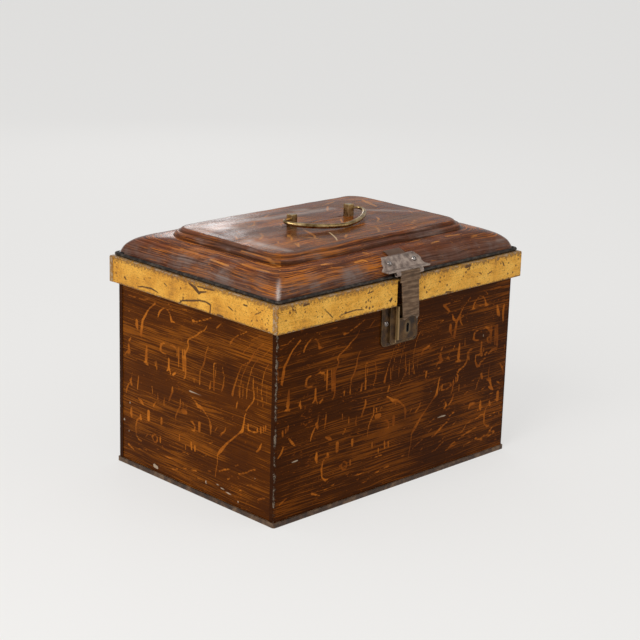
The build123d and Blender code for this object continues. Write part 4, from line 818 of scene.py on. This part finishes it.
def agedMetal(name):
    look = metals[name]
    dark, base, light, edge = look["tones"]
    material, add = startMaterial(name)
    spot = objectPlace(add)[1]
    patina = add("TexNoise", Vector=spot, Scale=1 / look["scale"], Detail=6.0, Roughness=0.62)
    tone = patina
    if "bars" in look:
        bars = streaks(add, spot, 20, look["bars"], depth=0.05, Detail=3.0, Roughness=0.6)
        tone = add("Mix", i0=0.65, i2=patina, i3=bars)
    colour = add("ValToRGB", stops=[(0.36, dark), (0.64, light), (0.5, base)], Fac=tone)
    fine = add("TexNoise", Vector=spot, Scale=1.4, Detail=3.0, Roughness=0.6)
    if "specks" in look:
        speckMask = add("MapRange", Value=fine, From_Min=0.65, From_Max=0.72, To_Max=0.7)
        colour = add("Mix", blend, i0=speckMask, i6=colour, i7=look["specks"])
    # An edge is where the normal of a rounded copy differs from the face's own
    rounded = add("Bevel", {"samples": 6}, Radius=look["radius"] * mm)
    own = add("NewGeometry")
    match = add("VectorMath", "DOT_PRODUCT", i0=rounded, i1=(own, "Normal"))
    frayed = add("Math", "MULTIPLY_ADD", i0=fine, i1=0.12, i2=(match, "Value"))
    edgeMask = add("MapRange", Value=frayed, From_Min=1.03, From_Max=0.93, To_Max=look["wear"])
    edged = add("Mix", blend, i0=edgeMask, i6=colour, i7=edge)
    if "lacquered" in look:
        middle = add("VectorMath", "ABSOLUTE", i0=spot)
        across = add("SeparateXYZ", Vector=middle)
        insideX = add("Math", "LESS_THAN", i0=(across, "X"), i1=look["lacquered"][0])
        insideY = add("Math", "LESS_THAN", i0=(across, "Y"), i1=look["lacquered"][1])
        inside = add("Math", "MULTIPLY", i0=insideX, i1=insideY)
        broad = add("TexNoise", Vector=spot, Scale=0.02, Detail=5.0, Roughness=0.6)
        edged = add("Mix", blend, i0=inside, i6=edged, i7=brownLacquer(add, broad))
    if "tongue" in look:
        # The leaf's tongue was painted over with the lid
        height = add("SeparateXYZ", Vector=spot)
        raised = add("Math", "MULTIPLY_ADD", i0=patina, i1=3.0, i2=(height, "Z"))
        painted = add("MapRange", Value=raised, From_Min=look["tongue"] + 1.2, From_Max=look["tongue"] + 2.0,
            To_Max=0.85)
        edged = add("Mix", blend, i0=painted, i6=edged, i7=overpaint)
    if "keyhole" in look:
        # The keyhole's dark inside is painted shade, a ring round it is rubbed pale, and the case's step gets
        # a painted highlight that also stands for rubbing
        x, z, drop = look["keyhole"]
        spotAt = add("SeparateXYZ", Vector=spot)
        offX = add("Math", "SUBTRACT", i0=(spotAt, "X"), i1=x)
        clamped = add("Clamp", Value=(spotAt, "Z"), Min=z - drop + 1, Max=z)
        offZ = add("Math", "SUBTRACT", i0=(spotAt, "Z"), i1=clamped)
        off = add("CombineXYZ", X=offX, Z=offZ)
        far = add("VectorMath", "LENGTH", i0=off)
        ring = add("MapRange", Value=(far, "Value"), From_Min=5.5, From_Max=2.0, To_Max=0.32)
        ringed = add("Mix", blend, i0=ring, i6=edged, i7=edge)
        offRib = add("Math", "SUBTRACT", i0=(spotAt, "X"), i1=look["rib"])
        ribGap = add("Math", "ABSOLUTE", i0=offRib)
        rib = add("MapRange", Value=ribGap, From_Min=1.3, From_Max=0.5, To_Max=0.75)
        ribHighlighted = add("Mix", blend, i0=rib, i6=ringed, i7=edge)
        holeShadeMask = add("MapRange", Value=(far, "Value"), From_Min=2.3, From_Max=1.9)
        edged = add("Mix", blend, i0=holeShadeMask, i6=ribHighlighted, i7=holeShade)
    relief = add("Math", "MULTIPLY_ADD", i0=fine, i1=0.6, i2=patina)
    surface(add, look, edged, patina, relief, strength=0.3, spread=(0.07, 0.16), height=0.0002)
    return material


metalFinish = {name: agedMetal(name) for name in metals}
pressed = pressedDome("pressed_dome", grainedLid("oilGrainedTinLid"), metalFinish["brownLacquer"])
print("dome pressed:", len(pressed.data.polygons), "faces")


# The black bead, curled round the wire at the dome's foot, and a little lumpy with paint
bead = {"inset": 7.1, "radius": 2.5, "corner": 3.5, "uneven": 0.16, "waves": 24, "step": 5.0}


def curledBead(name, material):
    wide, deep = skirtHalfWidth - bead["inset"], skirtHalfDepth - bead["inset"]
    bm = roundedRectangle(wide, deep, bead["corner"], 6)
    cutLongEdges(bm, 0, round(2 * wide / bead["step"]))
    cutLongEdges(bm, 1, round(2 * deep / bead["step"]))
    line = [corner.vert.co.copy() for corner in bm.faces[:][0].loops]
    bm.free()
    curve = bpy.data.curves.new(name, "CURVE")
    curve.dimensions = "3D"
    curve.bevel_depth, curve.bevel_resolution = bead["radius"], 3
    spline = curve.splines.new("POLY")
    spline.points.add(len(line) - 1)
    for point, spot in zip(spline.points, line):
        point.co = (spot.x, spot.y, ledge + bead["radius"], 1)
    spline.use_cyclic_u = True
    holder = bpy.data.objects.new(name + "Path", curve)
    scene.collection.objects.link(holder)
    bm = bmesh.new()
    bm.from_mesh(bpy.data.meshes.new_from_object(holder.evaluated_get(bpy.context.evaluated_depsgraph_get())))
    bpy.data.objects.remove(holder)
    for v in bm.verts:
        v.co += v.normal * bead["uneven"] * (noise.noise(v.co / bead["waves"]) - 0.6)
    bmesh.ops.scale(bm, vec=(mm, mm, mm), verts=bm.verts)
    return finish(name, bm, "lid", [material], sharp=60)


curledBead("black_bead", metalFinish["blackJapan"])

# The bail, a little fuller in its middle than the plain bow, as cast ones are. It stays plain where it turns.
bail = {"fuller": 0.38, "pivotHeight": 277.0, "plainWithin": 5.5, "swellOver": 8.5}
bm = mergedCopy("handle_bail")
bm.normal_update()
for v in bm.verts:
    away = ((v.co.y / mm) ** 2 + (v.co.z / mm - bail["pivotHeight"]) ** 2) ** 0.5
    v.co += v.normal * bail["fuller"] * mm * through(away, bail["plainWithin"], bail["swellOver"])
finish("swelled_bail", bm, "handle", [metalFinish["antiqueBrass"]], sharp=50,
    replaced=["handle_bail"])

# Better finishes on the CAD nodes that stay
nodeFinish = {
    "wornTinHem": ["bottom_pan"],
    "drawnIron": ["rim_wire", "lid_edge_wire", "lock_key_pin", "lock_spring"],
    "blackJapan": ["hinge_left_body_leaf", "hinge_right_body_leaf", "hinge_body_rivets",
                   "hinge_left_lid_leaf", "hinge_right_lid_leaf", "hinge_lid_rivets"],
    "agedLockBrass": ["lock_plate", "lock_case", "lock_bolt"],
    "polishedRivet": ["lock_rivets", "hasp_leaf_rivets", "hasp_pin", "hinge_left_pin", "hinge_right_pin"],
    "dullBronzeLeaf": ["hasp_leaf"],
    "dullBronzeStrap": ["hasp_strap", "hasp_staple"],
    "antiqueBrass": ["handle_bail", "handle_post_left", "handle_post_right", "handle_washers", "handle_nuts"],
}
for finished, names in nodeFinish.items():
    for node in names:
        nodes[node].material_slots[0].material = metalFinish[finished]
print("metal finishes on", sum(len(names) for names in nodeFinish.values()), "nodes")

# A pale matt floor, which looks evenly bright to the camera and in reflections but is lit as paint elsewhere
floorSize, evenShare = 30, 0.6
bpy.ops.mesh.primitive_plane_add(size=floorSize)
floor = bpy.context.object
floor.name = "studio_floor"
material, add = startMaterial("paleFloor")
shader = add("BsdfPrincipled", Base_Color="#d9d6d2", Roughness=0.8)
white = add("Emission", Color="#fbfaf8", Strength=1.0)
ray = add("LightPath")
mirrored = add("Math", "ADD", i0=(ray, "Is Glossy Ray"), i1=(ray, "Is Transmission Ray"))
direct = add("Math", {"operation": "ADD", "use_clamp": True}, i0=(ray, "Is Camera Ray"), i1=mirrored)
seen = add("Math", "MULTIPLY", i0=direct, i1=evenShare)
mixed = add("MixShader", i0=seen, i1=shader, i2=white)
add("OutputMaterial", Surface=mixed)
floor.data.materials.append(material)

world = bpy.data.worlds.new("softStudio")
scene.world = world
world.use_nodes = True
sky = world.node_tree.nodes["Background"]
sky.inputs["Color"].default_value = (0.9, 0.92, 0.95, 1)
sky.inputs["Strength"].default_value = 0.6

# Places and sizes are metres, and power is watts
lamps = {
    "key": {"place": (-1.95, -0.5, 1.6), "aim": (0, 0, 0.1), "size": 1.4, "power": 38},
    "fill": {"place": (1.0, -1.9, 1.3), "aim": (0, 0, 0.1), "size": 1.6, "power": 6.5},
    "window": {"place": (1.2, 1.74, 0.76), "aim": (0, 0, 0.25), "size": 0.34, "power": 1.8},
}
for name, lamp in lamps.items():
    light = bpy.data.lights.new(name, "AREA")
    light.size = lamp["size"]
    light.energy = lamp["power"]
    holder = bpy.data.objects.new(name, light)
    holder.location = lamp["place"]
    holder.rotation_euler = (Vector(lamp["aim"]) - Vector(lamp["place"])).to_track_quat("-Z", "Y").to_euler()
    scene.collection.objects.link(holder)

# The photo's camera. Focal and width are pixels, sensor and lengths are millimetres, and angles are degrees.
shot = {"focal": 1686.054, "width": 640, "sensor": 36, "azimuth": -44.724, "elevation": 16.102, "roll": 1.656,
        "right": 2.567, "up": 33.848, "distance": 1866.316, "target": (0, 0, 122)}
a, e, r = (radians(shot[k]) for k in ("azimuth", "elevation", "roll"))
back = Vector((sin(a) * cos(e), -cos(a) * cos(e), sin(e)))
right = (-back).cross(Vector(upwards)).normalized()
up = right.cross(-back)
place = Vector(shot["target"]) + back * shot["distance"] + right * shot["right"] + up * shot["up"]
turned = Matrix((right * cos(r) + up * sin(r), up * cos(r) - right * sin(r), back)).transposed()
cameraData = bpy.data.cameras.new("photoCamera")
cameraData.sensor_width = shot["sensor"]
cameraData.lens = shot["sensor"] * shot["focal"] / shot["width"]
camera = bpy.data.objects.new("photoCamera", cameraData)
camera.matrix_world = Matrix.Translation(place * mm) @ turned.to_4x4()
scene.collection.objects.link(camera)
scene.camera = camera
print("stage set")
